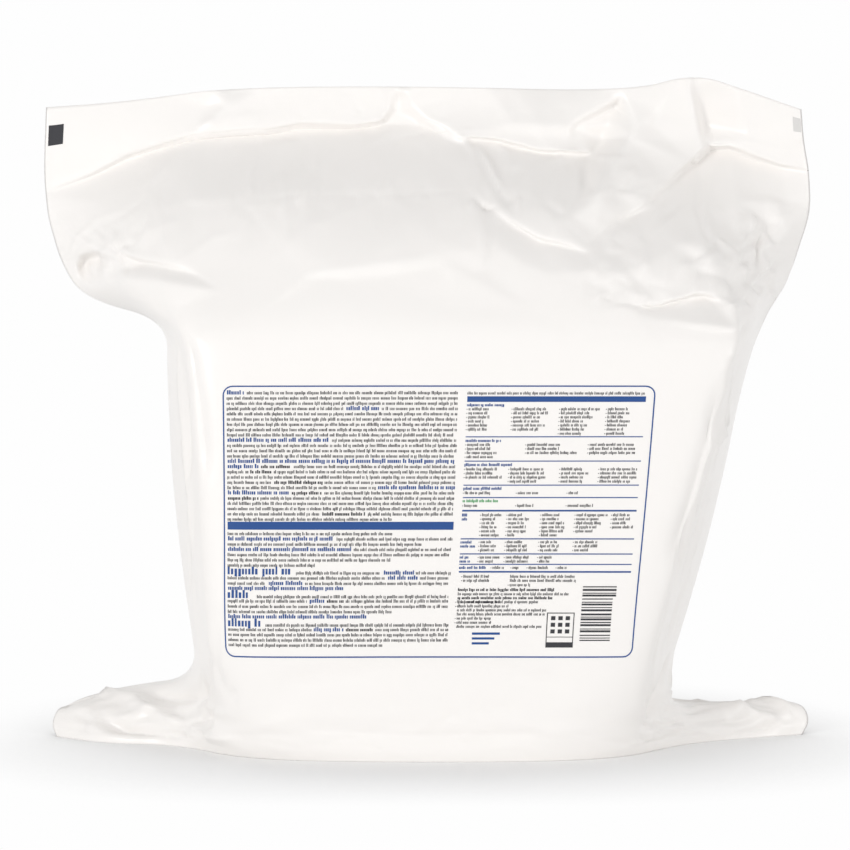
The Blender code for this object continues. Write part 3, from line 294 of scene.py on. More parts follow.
# The folds of the slope and the strip above it. The film between them lies in flat facets. A point is
# the distance across, the row, and how far the film stands forwards there, in millimetres. A fourth
# number says how far it hangs down over the fold below.
FRONT_FOLDS = [
    # the top edge of the seal, left to right
    [(-178, 14, 0), (-145, 14, 0), (-118, 14, 0), (-100, 14, 1), (-92, 14, -2), (-79, 14, 1), (-46, 14, 0),
     (-22, 14, 0), (-15, 14, -3), (-7, 14, 1), (11, 14, 0), (28, 14, -1), (41, 14, -4), (56, 14, -7),
     (69, 14, -6), (81, 14, -2), (91, 14, 3), (102, 14, 2), (114, 14, 1), (123, 14, 0), (126, 14, -3),
     (134, 14, -1), (145, 14, 0), (163, 14, 0), (178, 14, 0)],
    # the valley where the slope meets the flat strip under the seal, left of the middle
    [(-178, 11.9, -0.5), (-156, 12.2, -0.5, 1.8), (-140, 12.45, -0.5, 1.8), (-124, 12.45, -0.5, 1.8),
     (-112, 12.5, -0.5, 1.8), (-99, 12.45, -0.5, 1.8), (-75, 12.45, -0.5, 1.8), (-60, 12.75, -0.5, 1.8),
     (-35, 12.6, -0.5, 1.8), (-22, 12.8, -0.5, 1.8), (-17, 13.45, -1, 1.8)],
    [(-178, 11.75, -0.5), (-156, 12, -5), (-139, 12.2, -6.5), (-124, 12.25, -7), (-112, 12.25, -8),
     (-99, 12.25, -8), (-75, 12.2, -8), (-60, 12.4, -8), (-35, 12.35, -8), (-21, 12.45, -8),
     (-15, 13.15, -6)],
    [(-178, 11.1, 0), (-156, 11.15, -1), (-139, 11.4, -2), (-112, 11.55, -2.5), (-75, 11.55, -2.5),
     (-35, 11.65, -2.5), (-2, 11.65, -2), (10, 11.65, -1.5)],
    [(-178, 10.55, 0.5), (-155, 10.6, 0.5), (-135, 10.9, 0.5), (-110, 11.05, 0.5), (-75, 11.1, 0.5),
     (-35, 11.15, 0.5), (0, 11.15, 0.5), (16, 11.15, 0.5)],
    [(-103, 13.45, -2), (-108, 12.65, -2)],
    [(-79, 13.85, 1), (-93, 13.55, 1.5), (-104, 12.8, 0.5)],
    # the valley that runs from the seal down the middle of the slope
    [(-15, 13.85, -3), (-14, 13.7, -5), (-15, 13.15, -6), (-7, 12.75, -6), (0, 12.35, -6), (10, 12, -5),
     (17, 11.95, -5.5)],
    [(-12, 13.85, 1), (-7, 13.3, 1), (1, 12.7, 1), (12, 12.25, 1), (19, 12.15, 1)],
    [(17, 12.05, 0), (25, 11.5, 0.5), (31, 10.95, 1)],
    [(19, 12.05, -5.5), (26, 11.5, -5), (33, 11.05, -3)],
    # the rolled edge under the seal right of the middle
    [(19, 12.2, 1, 2), (33, 12.2, 1, 2), (51, 12.05, 1, 2), (67, 12.05, 1, 2), (76, 12.1, 0, 2)],
    [(19, 12.05, -5.5), (33, 12.05, -6.5), (50, 11.9, -7), (67, 11.9, -7), (76, 11.95, -6)],
    [(19, 12.3, 1.5), (33, 12.5, 2), (41, 12.7, 2.5), (53, 12.7, 3), (66, 12.75, 2.5)],
    [(37, 11.25, -2), (48, 11.25, -2), (60, 11.25, -2), (69, 11.3, -2)],
    [(46, 11.2, 0), (57, 11, 0)],
    # the tall fold right of the middle
    [(91, 13.7, 3), (97, 12.85, 8), (95, 12.5, 10), (86, 11.75, 11), (77, 11.25, 8), (70, 11, 4),
     (62, 10.8, 1.5)],
    [(67, 12.8, 2), (80, 13.3, 1.5), (90, 13.7, 2)],
    [(69, 12.7, -1), (81, 13.2, -6), (89, 13.55, -6), (86, 12.95, -1), (81, 12.35, -6), (75, 11.85, -7),
     (72, 11.35, -5), (64, 10.95, -1)],
    [(114, 13.85, 1), (107, 13.25, 3), (104, 12.95, 4.5)],
    [(115, 13.85, 0), (108, 13.25, 1.5), (105, 12.9, 3)],
    # the deep fold under the peak of the seal, and what runs out from its foot
    [(123, 13.85, 0), (126, 13.3, -0.5), (128, 12.75, -1), (130, 12.2, -1.5)],
    [(126, 13.85, -3), (128, 13.35, -8), (130, 12.75, -11), (132, 12.15, -14)],
    [(146, 13.85, 0), (148, 13.4, -1), (151, 12.75, -2.5)],
    [(130, 12.3, -1.5, 1.8), (134, 12.3, -3, 1.8), (141, 12.4, -2, 1.8), (152, 12.25, -1.5, 1.8),
     (165, 12.15, -1, 1.8), (178, 12.1, -1)],
    [(132, 12.15, -14), (141, 12.2, -11), (151, 12.05, -9), (165, 12, -7), (178, 11.95, -1)],
    [(142, 11.4, -4), (152, 11.25, -3), (166, 11.2, -1.5), (178, 11.25, 0)],
    [(143, 11.15, -1), (158, 11.1, 0)],
    [(130, 12.3, -1.5, 1.8), (122, 11.9, -1, 1.8), (109, 11.5, -1, 1.8), (98, 11.15, -2, 1.8),
     (86, 10.95, -2, 1.8), (76, 10.65, -2, 1.8), (69, 10.35, -2, 1.8)],
    [(132, 12.15, -14), (123, 11.8, -13), (110, 11.35, -11), (99, 11, -10), (86, 10.8, -8),
     (76, 10.55, -6), (70, 10.25, -3)],
    [(136, 11.05, -3), (122, 10.7, -1.5), (110, 10.4, 0), (95, 10, 1)],
    # the folds low on the slope
    [(31, 11, 1, 2), (28, 10.95, 1, 2), (37, 10.7, 2, 2), (48, 10.45, 2, 2), (69, 10.3, 0, 2)],
    [(27, 10.85, -4), (36, 10.6, -5), (48, 10.35, -5), (69, 10.15, -4)],
    [(45, 10.9, 1), (58, 10.65, 1)],
    [(28, 10.2, 0), (37, 9.95, 0), (50, 9.75, 0.5), (65, 9.55, 0.5)],
    [(20, 11.05, 0), (22, 10.65, 2), (22, 10.2, 2), (17, 9.75, 0)],
    [(26, 10.75, -2), (27, 10.35, -2), (22, 9.8, -1)],
    [(-77, 10.95, 0), (-69, 10.9, 0.5), (-65, 10.4, 1.5), (-60, 9.75, 1.5), (-44, 9.85, 3), (-20, 9.95, 3),
     (2, 10.05, 1.5)],
    [(-54, 9.7, 0), (-40, 9.65, -0.5), (-21, 9.7, -0.5), (-1, 9.85, 0)],
    [(0, 9.35, 0), (8, 9.55, 1), (14, 9.65, 1)],
    [(-86, 10.95, -0.5), (-81, 10.7, -1.5), (-75, 10.45, -0.5)],
    [(-120, 11.65, -2), (-116, 11.3, -2.5), (-111, 11, -1)],
    # the left top ear
    [(-169, 9.85, 0), (-165, 10, 0), (-157, 10.1, 0.5), (-151, 10.05, 1), (-151, 9.9, 2), (-158, 9.5, 0),
     (-168, 9.35, 0), (-172, 9.5, -0.5), (-169, 9.85, 0)],
    [(-168, 9.8, -9), (-164, 9.95, -10), (-157, 10.05, -10), (-153, 10, -9), (-153, 9.85, -8),
     (-161, 9.5, -4), (-168, 9.5, -5)],
    [(-149, 10.2, 2), (-144, 10.1, 2), (-142, 9.75, 0), (-154, 9.35, 2)],
    [(-149, 9.9, -2), (-149, 9.7, -3)],
    [(-140, 10.25, 1, 1.5), (-134, 10.15, 1, 1.5), (-122, 10.1, 0.5, 1.5), (-108, 9.9, 0, 1.5)],
    [(-141, 10.15, -4), (-134, 10.05, -6), (-122, 10, -5), (-108, 9.8, -2)],
    [(-162, 9.2, 1), (-147, 9.45, 2), (-135, 9.65, 2.5), (-123, 9.7, 2.5), (-109, 9.6, 2), (-100, 9.5, 0)],
    [(-127, 10.65, 0), (-118, 10.3, 0.5)],
    # the right top ear
    [(162, 11.15, 1), (166, 10.75, 4), (162, 10.35, 4), (154, 10.15, 4), (153, 9.45, 1)],
    [(157, 11, -1), (156, 10.65, -4), (150, 10.25, -5), (148, 9.75, -3)],
    [(140, 10.25, 1), (137, 9.85, 2.5), (130, 9.45, 1)],
    [(130, 10.05, -3), (125, 9.65, -4)],
    [(93, 9.2, 1, 1.5), (105, 9.35, 1, 1.5), (117, 9.5, 1, 1.5), (122, 9.35, 1, 1.5)],
    [(94, 9.1, -3), (105, 9.25, -5), (117, 9.4, -6), (121, 9.25, -4)],
    [(97, 8.8, 1), (111, 8.6, 3), (120, 8.55, 3), (125, 8.45, 2), (130, 8.35, 0)],
    [(117, 10.45, 2), (121, 10.3, 2), (122, 10.05, 1)],
    [(114, 10.2, -1), (117, 9.9, -1)],
    [(62, 9.8, 1), (67, 9.85, 1), (72, 9.85, 1)],
    [(67, 8.95, 1), (76, 9.2, 1), (83, 9.4, 1)],
    [(68, 9.55, -1), (78, 9.6, -1), (88, 9.75, -1)],
    [(178, 8.9, -3), (168, 8.85, -3)],
    [(123, 9.3, 2), (128, 9.4, 3), (130, 8.35, 0)],
]
FRONT_FOLDS += folded_edges((8.3, 9.2, 10.2))
FRONT_FOLDS += [[(place, 9, 0) for place in range(-120, 41, 40)]]

BACK_CREASES = [
    (-4.5, 15, [(-178, 11.9), (-120, 12.3), (-60, 12.5), (0, 12.7), (30, 12.4)]),
    (-4.5, 15, [(30, 12.4), (80, 12.1), (129, 12.0), (178, 12.0)]),
    (-4.0, 12, [(30, 12.4), (10, 11.6), (-20, 11.0), (-60, 10.4)]),
    (3.5, 11, [(-70, 12.2), (-50, 11.4), (-55, 10.5)]),
    (4.0, 12, [(110, 11.9), (85, 11.2), (60, 10.3)]),
    (-4.0, 12, [(150, 11.6), (110, 10.8), (90, 10.0)]),
    (-3.5, 12, [(-150, 11.5), (-120, 10.6), (-110, 9.8)]),
    (3.5, 9, [(-160, 9.7), (-130, 9.5), (-105, 9.2)]),
    (4.0, 10, [(160, 10.6), (140, 9.8), (125, 8.8)]),
    (-2.5, 12, [(-120, 8.2), (-118, 7.0), (-116, 5.8)]),
    (-2.5, 12, [(126, 7.8), (124, 6.6), (120, 5.4)]),
    (2.0, 12, [(-20, 8.4), (20, 8.0), (60, 8.2)]),
    (3.0, 9, [(-150, 2.6), (-120, 3.2), (-96, 3.8)]),
    (-3.0, 9, [(140, 3.6), (122, 3.2), (104, 2.6)]),
]

# The top edge of the seal and a line below it, which stay where they are.
BACK_FOLDS = [[(place, row, 0) for place in (-178, -100, -30, 40, 100, 178)] for row in (14, 13.1)]
BACK_FOLDS += [
    # the valley where the slope meets the seal
    [(-177, 11.9, 0), (-150, 12.1, -2), (-110, 12.4, -3), (-60, 12.5, -4), (-15, 12.6, -4), (17, 12.2, -4),
     (60, 12.2, -4), (95, 12.1, -4), (132, 12, -6), (165, 12, -2), (178, 12, 0)],
    [(-176, 11.4, 0), (-140, 11.6, 0), (-90, 11.8, -1), (-30, 11.9, -1), (30, 11.7, -1), (90, 11.5, -1),
     (140, 11.5, 0), (177, 11.4, 0)],
    [(-170, 10.8, 0), (-110, 11.1, 0), (-50, 11.3, 0.5), (20, 11.1, 0.5), (80, 11, 0), (140, 10.9, 0)],
    # long folds that run from the valley down to the rim
    [(-58, 12.3, -4), (-50, 11.5, -4), (-56, 10.6, -4), (-70, 9.6, -1)],
    [(-44, 11.9, 0), (-36, 11.0, 3), (-44, 10.0, 2), (-50, 9.3, 0)],
    [(30, 12.0, -4), (22, 11.3, -4), (4, 10.5, -3), (-4, 9.7, -1)],
    [(46, 11.8, 0), (40, 10.9, 3), (26, 9.9, 2)],
    [(110, 12.0, -4), (96, 11.2, -5), (84, 10.4, -4), (80, 9.6, -1)],
    [(126, 11.6, -1), (114, 10.7, 3), (104, 9.8, 2)],
    [(-130, 11.8, -2), (-124, 10.9, -3), (-112, 9.9, -2)],
    [(-112, 11.3, 0), (-104, 10.4, 2), (-98, 9.5, 1)],
]
BACK_FOLDS += folded_edges((8.3, 9.2, 10.2, 11))

# Where the film is crumpled, on the front and then on the back: the middle of the patch across the
# film and up the rails, how far it spreads, how many small creases it holds, their length, reach and
# height in millimetres, and their slant and the spread of it in degrees.
CRUMPLED_PATCHES = ([
    ((-150, 10.1), (16, 0.5), 14, (6, 20), (2.5, 5), 1.4, 60, 50),
    ((-60, 11.0), (60, 0.5), 12, (10, 30), (3, 7), 0.7, 80, 20),
    ((-30, 11.1), (60, 0.12), 10, (4, 12), (2, 4), 0.7, 90, 25),
    ((28, 11.0), (10, 0.3), 6, (5, 14), (2, 4), 1.2, 60, 60),
    ((85, 9.3), (22, 0.3), 10, (5, 16), (2.5, 5), 1.0, 30, 70),
    ((130, 9.6), (26, 0.9), 24, (8, 28), (3, 7), 1.7, 70, 50),
    ((148, 9.6), (12, 1.0), 12, (5, 16), (2.5, 5), 1.8, 80, 50),
    ((120, 11.2), (40, 0.9), 10, (15, 45), (4, 9), 1.0, 40, 40),
    ((-120, 11.0), (45, 0.9), 9, (15, 45), (4, 9), 0.7, 60, 50),
    ((0, 13.0), (160, 0.5), 12, (8, 24), (3, 8), 0.6, 80, 30),
    ((-126, 6.4), (10, 1.2), 9, (15, 40), (3, 7), 0.8, 85, 12),
    ((124, 6.2), (10, 1.4), 10, (15, 45), (3, 7), 1.0, 80, 14),
    ((-140, 2.0), (34, 0.9), 24, (8, 28), (2.5, 6), 1.4, 20, 50),
    ((140, 2.0), (34, 0.9), 24, (8, 28), (2.5, 6), 1.4, -20, 50),
    ((-104, 4.0), (14, 0.8), 10, (8, 26), (3, 6), 1.2, 60, 40),
    ((110, 3.8), (14, 0.8), 10, (8, 26), (3, 6), 1.2, 110, 40),
    ((0, 2.8), (95, 1.2), 9, (10, 30), (4, 9), 0.5, 85, 25),
], [
    ((0, 11.0), (120, 0.9), 28, (12, 45), (4, 9), 1.1, 70, 50),
    ((-150, 10.0), (18, 0.9), 16, (8, 26), (3, 6), 1.5, 60, 50),
    ((150, 10.0), (18, 0.9), 16, (8, 26), (3, 6), 1.5, 60, 50),
    ((0, 8.2), (110, 0.6), 14, (10, 34), (4, 8), 0.9, 60, 50),
    ((0, 6.0), (110, 1.4), 12, (20, 60), (6, 12), 0.8, 85, 25),
    ((-140, 2.0), (34, 0.9), 20, (8, 28), (2.5, 6), 1.4, 20, 50),
    ((140, 2.0), (34, 0.9), 20, (8, 28), (2.5, 6), 1.4, -20, 50),
    ((0, 3.0), (110, 1.2), 14, (10, 34), (3, 8), 0.9, 80, 40),
    ((0, 13.0), (160, 0.5), 10, (8, 24), (3, 8), 0.6, 80, 30),
])

# The small facets of handled film, on the front and then on the back: the middle of the patch across
# the film and up the rails, how far it spreads, how many corners it holds, and how far they stand in
# or out in millimetres.
FACET_PATCHES = ([
    ((0, 11.2), (120, 1.0), 150, 0.5),
    ((-30, 11.0), (60, 0.2), 50, 0.4),
    ((-150, 10.2), (20, 0.6), 40, 1.3),
    ((110, 9.8), (40, 0.7), 110, 1.2),
    ((150, 9.9), (14, 0.9), 50, 1.7),
    ((60, 11.4), (40, 0.6), 60, 0.8),
    ((0, 13.0), (150, 0.5), 60, 0.3),
    ((-126, 6.4), (10, 1.4), 40, 0.6),
    ((126, 6.2), (12, 1.6), 60, 0.9),
    ((-135, 2.2), (32, 1.2), 110, 1.5),
    ((138, 2.2), (32, 1.2), 110, 1.5),
    ((0, 2.4), (90, 1.4), 60, 0.5),
], [
    ((0, 11.0), (130, 1.0), 170, 1.0),
    ((-150, 10.0), (20, 0.9), 50, 1.5),
    ((150, 10.0), (20, 0.9), 50, 1.5),
    ((0, 8.0), (120, 0.8), 90, 0.8),
    ((0, 5.6), (120, 1.6), 70, 0.6),
    ((-138, 2.2), (32, 1.2), 90, 1.5),
    ((138, 2.2), (32, 1.2), 90, 1.5),
    ((0, 2.8), (110, 1.2), 80, 0.8),
    ((0, 13.0), (150, 0.5), 40, 0.3),
])

ROW_PITCH = 24  # about how many millimetres of film lie between two rows of the rails
LAST_ROW = 14
STEPS_PER_POINT = 6  # how finely a crease is drawn from one of its points to the next
SMOOTH_END = 14  # a crease that stops inside the film fades out over this many millimetres
FOLD_SOFTNESS = 2  # how many times the folds are rubbed down
RIPPLE_HEIGHT = 0.0011
# How loose the film is up the rails, as rows and shares, and how much looser the back is.
LOOSENESS = ([0, 3, 4.6, 6, 7.4, 8.4, 10, 12, 13, 14], [0, 0.3, 0.35, 0.3, 0.25, 0.4, 1.0, 0.8, 0.7, 0.9])
MORE_AT_BACK = ([3, 5, 8, 9], [0, 0.8, 0.8, 0])
# The two sheets move as one from the seal's lowest row over the share of a row that follows it, and
# also beside the film's folds, from a share of the width and from a row on.
SEAL_ROW, SEAL_BLEND = 12.4, 0.6
JOINED_WIDTH, JOINED_ROW, JOINED_BLEND = 0.9, 10.2, 0.8
FLAT_ROWS = 1.2  # the film on the floor lies flat below this row
LOWEST = 0.0005  # what does not lie on the floor stays this far above it
CLOSE_ROW = 9  # above this row the back may touch the front but not pass it


def rounded(points, bends, places):
    """Points along a run of corners, each one bent round over its own share of the sides."""
    ends = (2 * points[:1] - points[1:2], 2 * points[-1:] - points[-2:-1])
    run = np.concatenate([ends[0], points, ends[1]])
    nearest = np.rint(places).astype(int)
    step = (places - nearest)[:, None]
    before, corner, after = run[nearest], run[nearest + 1], run[nearest + 2]
    bend = bends[nearest][:, None]
    straight = corner + np.where(step < 0, before - corner, after - corner) * np.abs(step)
    turn = np.clip((step + bend) / (2 * bend), 0, 1)
    start = corner + (before - corner) * bend
    end = corner + (after - corner) * bend
    curve = start * (1 - turn) ** 2 + corner * 2 * turn * (1 - turn) + end * turn ** 2
    return np.where(np.abs(step) < bend, curve, straight)


def up_rail(points, rows):
    """Where each row crosses one rail."""
    return rounded(np.array(points, float), np.full(len(points), 0.5), rows)


def back_rails():
    """The rails of the back, left to right, from the front rails turned round."""
    folds = (np.array(LEFT_FOLD)[:, 1] + np.array(RIGHT_FOLD)[:, 1]) / 2
    rails = []
    for number, front_rail in enumerate(FRONT_RAILS[1:-1]):
        points = np.array(front_rail, float)
        towards_middle = (1, 2, 3, 4, 3, 2, 1)[number] / 4
        narrow = np.array(BACK_NARROW)
        if number != 3:
            points[:, 0] *= 1 - (1 - narrow) * (1.4 - abs(towards_middle - 0.75))
        held = np.array(ROLL_SHARE) * towards_middle
        centre = folds * (1 - held) + middle * held
        turned = 2 * centre - points[:, 1] + np.array(BACK_BULGE) * towards_middle
        points[:-2, 1] = turned[:-2]
        rails.append(points)
    return rails


def half_section(rails, bends, across, true_length):
    """Spread columns along one sheet of a section, from the left fold to the right fold."""
    places = np.linspace(0, len(rails) - 1, STEPS_PER_RAIL * (len(rails) - 1) + 1)
    points = rounded(rails, bends, places)
    steps = np.linalg.norm(np.diff(points, axis=0), axis=1)
    length = np.concatenate([[0], np.cumsum(steps)])
    centre = np.interp((len(rails) - 1) / 2, places, length)
    slack = np.where(across < 0, centre, length[-1] - centre) - film
    share = np.abs(across) / film
    if true_length:
        share = np.clip((share - HELD_WIDTH) / (1 - HELD_WIDTH), 0, 1)
        share = share * share * (3 - 2 * share)
    wanted = centre + across + np.sign(across) * slack * share
    return np.stack([np.interp(wanted, length, points[:, axis]) for axis in range(3)], axis=1)


def film_sheets(rows, across):
    """The front and back of the film as grids of points, rows upwards and columns left to right."""
    front_rails = np.stack([up_rail(points, rows) for points in FRONT_RAILS], axis=1)
    turned = [up_rail(points, rows) for points in back_rails()]
    back = np.stack([front_rails[:, 0]] + turned + [front_rails[:, -1]], axis=1)
    heights = np.arange(len(SOFT))
    bends = np.stack([np.interp(rows, heights, bend) for bend in FRONT_BENDS], axis=1)
    sheets = []
    for rails, true_length in ((front_rails, True), (back, False)):
        sheet = [half_section(rails[row], bends[row], across, true_length) for row in range(len(rows))]
        sheets.append(np.array(sheet) - (0, depth_centre, 0))
    return sheets


def on_sheet(sheet, rows, across, row, place):
    """A point of a sheet between its grid points."""
    r = np.interp(row, rows, np.arange(len(rows)))
    c = np.interp(place, across, np.arange(len(across)))
    r0 = np.minimum(r.astype(int), len(rows) - 2)
    c0 = np.minimum(c.astype(int), len(across) - 2)
    fr, fc = (r - r0)[..., None], (c - c0)[..., None]
    low = sheet[r0, c0] * (1 - fc) + sheet[r0, c0 + 1] * fc
    high = sheet[r0 + 1, c0] * (1 - fc) + sheet[r0 + 1, c0 + 1] * fc
    return low * (1 - fr) + high * fr


def crease_heights(sheet, rows, across, creases):
    """How far each point of one sheet stands out or in beside its creases, in metres."""
    heights = np.zeros(sheet.shape[:2])
    for height, reach, points in creases:
        points = np.array(points, float)
        places = np.linspace(0, len(points) - 1, STEPS_PER_POINT * (len(points) - 1) + 1)
        place = np.interp(places, np.arange(len(points)), points[:, 0]) * MM
        row = np.interp(places, np.arange(len(points)), points[:, 1])
        line = on_sheet(sheet, rows, across, row, place)
        margin = reach * MM
        near = np.all((sheet > line.min(0) - margin) & (sheet < line.max(0) + margin), axis=2)
        spot = sheet[near]
        if not len(spot):
            continue
        starts, steps = line[:-1], np.diff(line, axis=0)
        lengths = np.linalg.norm(steps, axis=1) + 1e-9
        along = np.concatenate([[0], np.cumsum(lengths)])
        offset = spot[:, None, :] - starts
        share = np.clip((offset * steps).sum(-1) / lengths ** 2, 0, 1)
        away = np.linalg.norm(offset - share[..., None] * steps, axis=-1)
        nearest = away.argmin(-1)
        pick = np.arange(len(spot))
        gap = away[pick, nearest]
        position = along[nearest] + share[pick, nearest] * lengths[nearest]
        fade = np.ones(len(spot))
        end_length = min(SMOOTH_END * MM, along[-1] / 2)
        for end, distance in ((points[0], position), (points[-1], along[-1] - position)):
            if end[1] < LAST_ROW - 0.1 and abs(end[0]) < film / MM - 1.5:
                fade = np.minimum(fade, distance / end_length)
        heights[near] += height * MM * fade * np.clip(1 - gap / margin, 0, 1) ** 2
    return heights


def facet_heights(rows, across, folds):
    """How far the flat facets between the folds stand forwards, and how far they hang down, in metres."""
    corners, moves, links = [], [], []
    for fold in folds:
        for number, (place, row, *move) in enumerate(fold):
            if number:
                links.append((len(corners) - 1, len(corners)))
            corners.append(Vector((place, row * ROW_PITCH)))
            moves.append((move + [0])[:2])
    spots, edges, facets, origins = delaunay_2d_cdt(corners, links, [], 0, 0.2)[:4]
    level = [np.mean([moves[number] for number in origin], axis=0) if origin else None for origin in origins]
    for number in [number for number, origin in enumerate(origins) if not origin]:
        beside = [level[edge[0] if edge[1] == number else edge[1]] for edge in edges if number in edge]
        level[number] = np.mean([value for value in beside if value is not None], axis=0)
    columns, lines = across / MM, rows * ROW_PITCH
    heights = np.zeros((len(rows), len(across), 2))
    for facet in facets:
        (x0, y0), (x1, y1), (x2, y2) = [spots[corner] for corner in facet]
        size = (x1 - x0) * (y2 - y0) - (x2 - x0) * (y1 - y0)
        if abs(size) < 1e-6:
            continue
        c0, c1 = np.searchsorted(columns, (min(x0, x1, x2) - 0.01, max(x0, x1, x2) + 0.01))
        r0, r1 = np.searchsorted(lines, (min(y0, y1, y2) - 0.01, max(y0, y1, y2) + 0.01))
        x, y = np.meshgrid(columns[c0:c1], lines[r0:r1])
        s = ((x - x0) * (y2 - y0) - (x2 - x0) * (y - y0)) / size
        t = ((x1 - x0) * (y - y0) - (x - x0) * (y1 - y0)) / size
        inside = (s > -0.001) & (t > -0.001) & (s + t < 1.001)
        a, b, c = [level[corner] for corner in facet]
        flat = a + (b - a) * s[..., None] + (c - a) * t[..., None]
        heights[r0:r1, c0:c1][inside] = flat[inside]
    return heights * MM


def softened(heights, rounds):
    """The heights with their sharpest edges rubbed down."""
    for _ in range(rounds):
        heights[1:-1] = (heights[:-2] + 2 * heights[1:-1] + heights[2:]) / 4
        heights[:, 1:-1] = (heights[:, :-2] + 2 * heights[:, 1:-1] + heights[:, 2:]) / 4
    return heights


def small_creases(side, rng):
    """The many small creases of the crumpled patches on one side."""
    creases = []
    for centre, spread, count, length, reach, height, slant, fan in CRUMPLED_PATCHES[side]:
        for _ in range(count):
            start = np.array(centre) + np.array(spread) * rng.normal(0, 0.55, 2)
            angle = math.radians(slant + fan * rng.uniform(-1, 1))
            size = rng.uniform(*length)
            bow = rng.uniform(-0.12, 0.12) * size
            points = []
            for share in (-0.5, 0.0, 0.5):
                sideways = bow * (1 - 4 * share * share)
                point = (start[0] + size * share * math.cos(angle) - sideways * math.sin(angle),
                         start[1] + (size * share * math.sin(angle) + sideways * math.cos(angle)) / ROW_PITCH)
                points.append((float(np.clip(point[0], -176, 176)), float(np.clip(point[1], 0.5, 13.8))))
            sign = 1 if rng.uniform() < 0.5 else -1
            creases.append((sign * height * rng.uniform(0.35, 1.0), rng.uniform(*reach), points))
    return creases


def small_facets(side, rng):
    """The corners of the small facets on one side, over an even net of corners that stay in place."""
    corners = [[(place, row, 0)] for place in range(-178, 179, 25) for row in np.arange(0.0, 14.1, 1.0)]
    for centre, spread, count, height in FACET_PATCHES[side]:
        for _ in range(count):
            place, row = np.array(centre) + np.array(spread) * rng.uniform(-1, 1, 2)
            depth = height * rng.uniform(-1, 1)
            corners.append([(float(np.clip(place, -177, 177)), float(np.clip(row, 0.3, 13.9)), depth)])
    return corners


def outward(sheet, side):
    """The direction each point of a sheet faces."""
    normals = np.cross(np.gradient(sheet, axis=1), np.gradient(sheet, axis=0))
    normals /= np.linalg.norm(normals, axis=2, keepdims=True) + 1e-12
    return normals if side == 0 else -normals


def ripple(rows, across, side):
    """The long low waves of film that is neither held tight nor creased, in metres."""
    r, c = np.meshgrid(rows, across / film, indexing="ij")
    shift = 1.7 * side
    wave = np.sin(5.1 * c + 1.3 * r + shift) * np.cos(1.9 * r - 2.2 * c + shift)
    wave += 0.6 * np.sin(9.7 * c - 0.8 * r + 2.0 + shift) * np.cos(2.3 * r + 0.7)
    looseness = np.interp(r, *LOOSENESS) + side * np.interp(r, *MORE_AT_BACK)
    return wave * looseness * RIPPLE_HEIGHT


def creased_film(rows, across):
    """The two sheets with their creases, joined at the folds and through the seal."""
    rng = np.random.default_rng(41)
    sheets = film_sheets(rows, across)
    moves = []
    for side, creases in enumerate((FRONT_CREASES, BACK_CREASES)):
        both = creases + small_creases(side, rng)
        heights = crease_heights(sheets[side], rows, across, both) + ripple(rows, across, side)
        heights += softened(facet_heights(rows, across, small_facets(side, rng))[..., 0], 1)
        moves.append(outward(sheets[side], side) * heights[..., None])
        folds = softened(facet_heights(rows, across, (FRONT_FOLDS, BACK_FOLDS)[side]), FOLD_SOFTNESS)
        moves[side][..., 1] += folds[..., 0] * (-1, 1)[side]
        moves[side][..., 2] -= folds[..., 1]
    beside_folds = np.clip((np.abs(across) / film - JOINED_WIDTH) / (1 - JOINED_WIDTH), 0, 1)
    ends = beside_folds * np.clip((rows[:, None] - JOINED_ROW) / JOINED_BLEND, 0, 1)
    sealed = np.maximum(np.clip((rows[:, None] - SEAL_ROW) / SEAL_BLEND, 0, 1), ends)[..., None]
    moves[1] = moves[1] * (1 - sealed) + moves[0] * sealed
    above_floor = np.clip(rows / FLAT_ROWS, 0, 1)[:, None, None]
    for side in (0, 1):
        moves[side][:, [0, -1]] = (moves[0][:, [0, -1]] + moves[1][:, [0, -1]]) / 2
        sheets[side] = sheets[side] + moves[side] * above_floor
        sheets[side][1:, :, 2] = np.maximum(sheets[side][1:, :, 2], LOWEST)
    upper = rows > CLOSE_ROW
    sheets[1][upper, :, 1] = np.maximum(sheets[1][upper, :, 1], sheets[0][upper, :, 1])
    for side in (0, 1):
        sheets[side][:, 1:-1, 1] += (side - 0.5) * seal_thickness
    return sheets


def row_at(height):
    """The row on the rails that crosses the middle of the front at a height."""
    rows = np.linspace(0, 9, 3601)
    return np.interp(height, up_rail(FRONT_MIDDLE, rows)[:, 2], rows)


def mesh_object(name, points, faces, material):
    """A new object at the origin, made of the points and faces given."""
    mesh = bpy.data.meshes.new(name)
    mesh.from_pydata([tuple(point) for point in points], [], faces)
    mesh.materials.append(material)
    mesh.update()
    made = bpy.data.objects.new(name, mesh)
    bpy.context.scene.collection.objects.link(made)
    return made


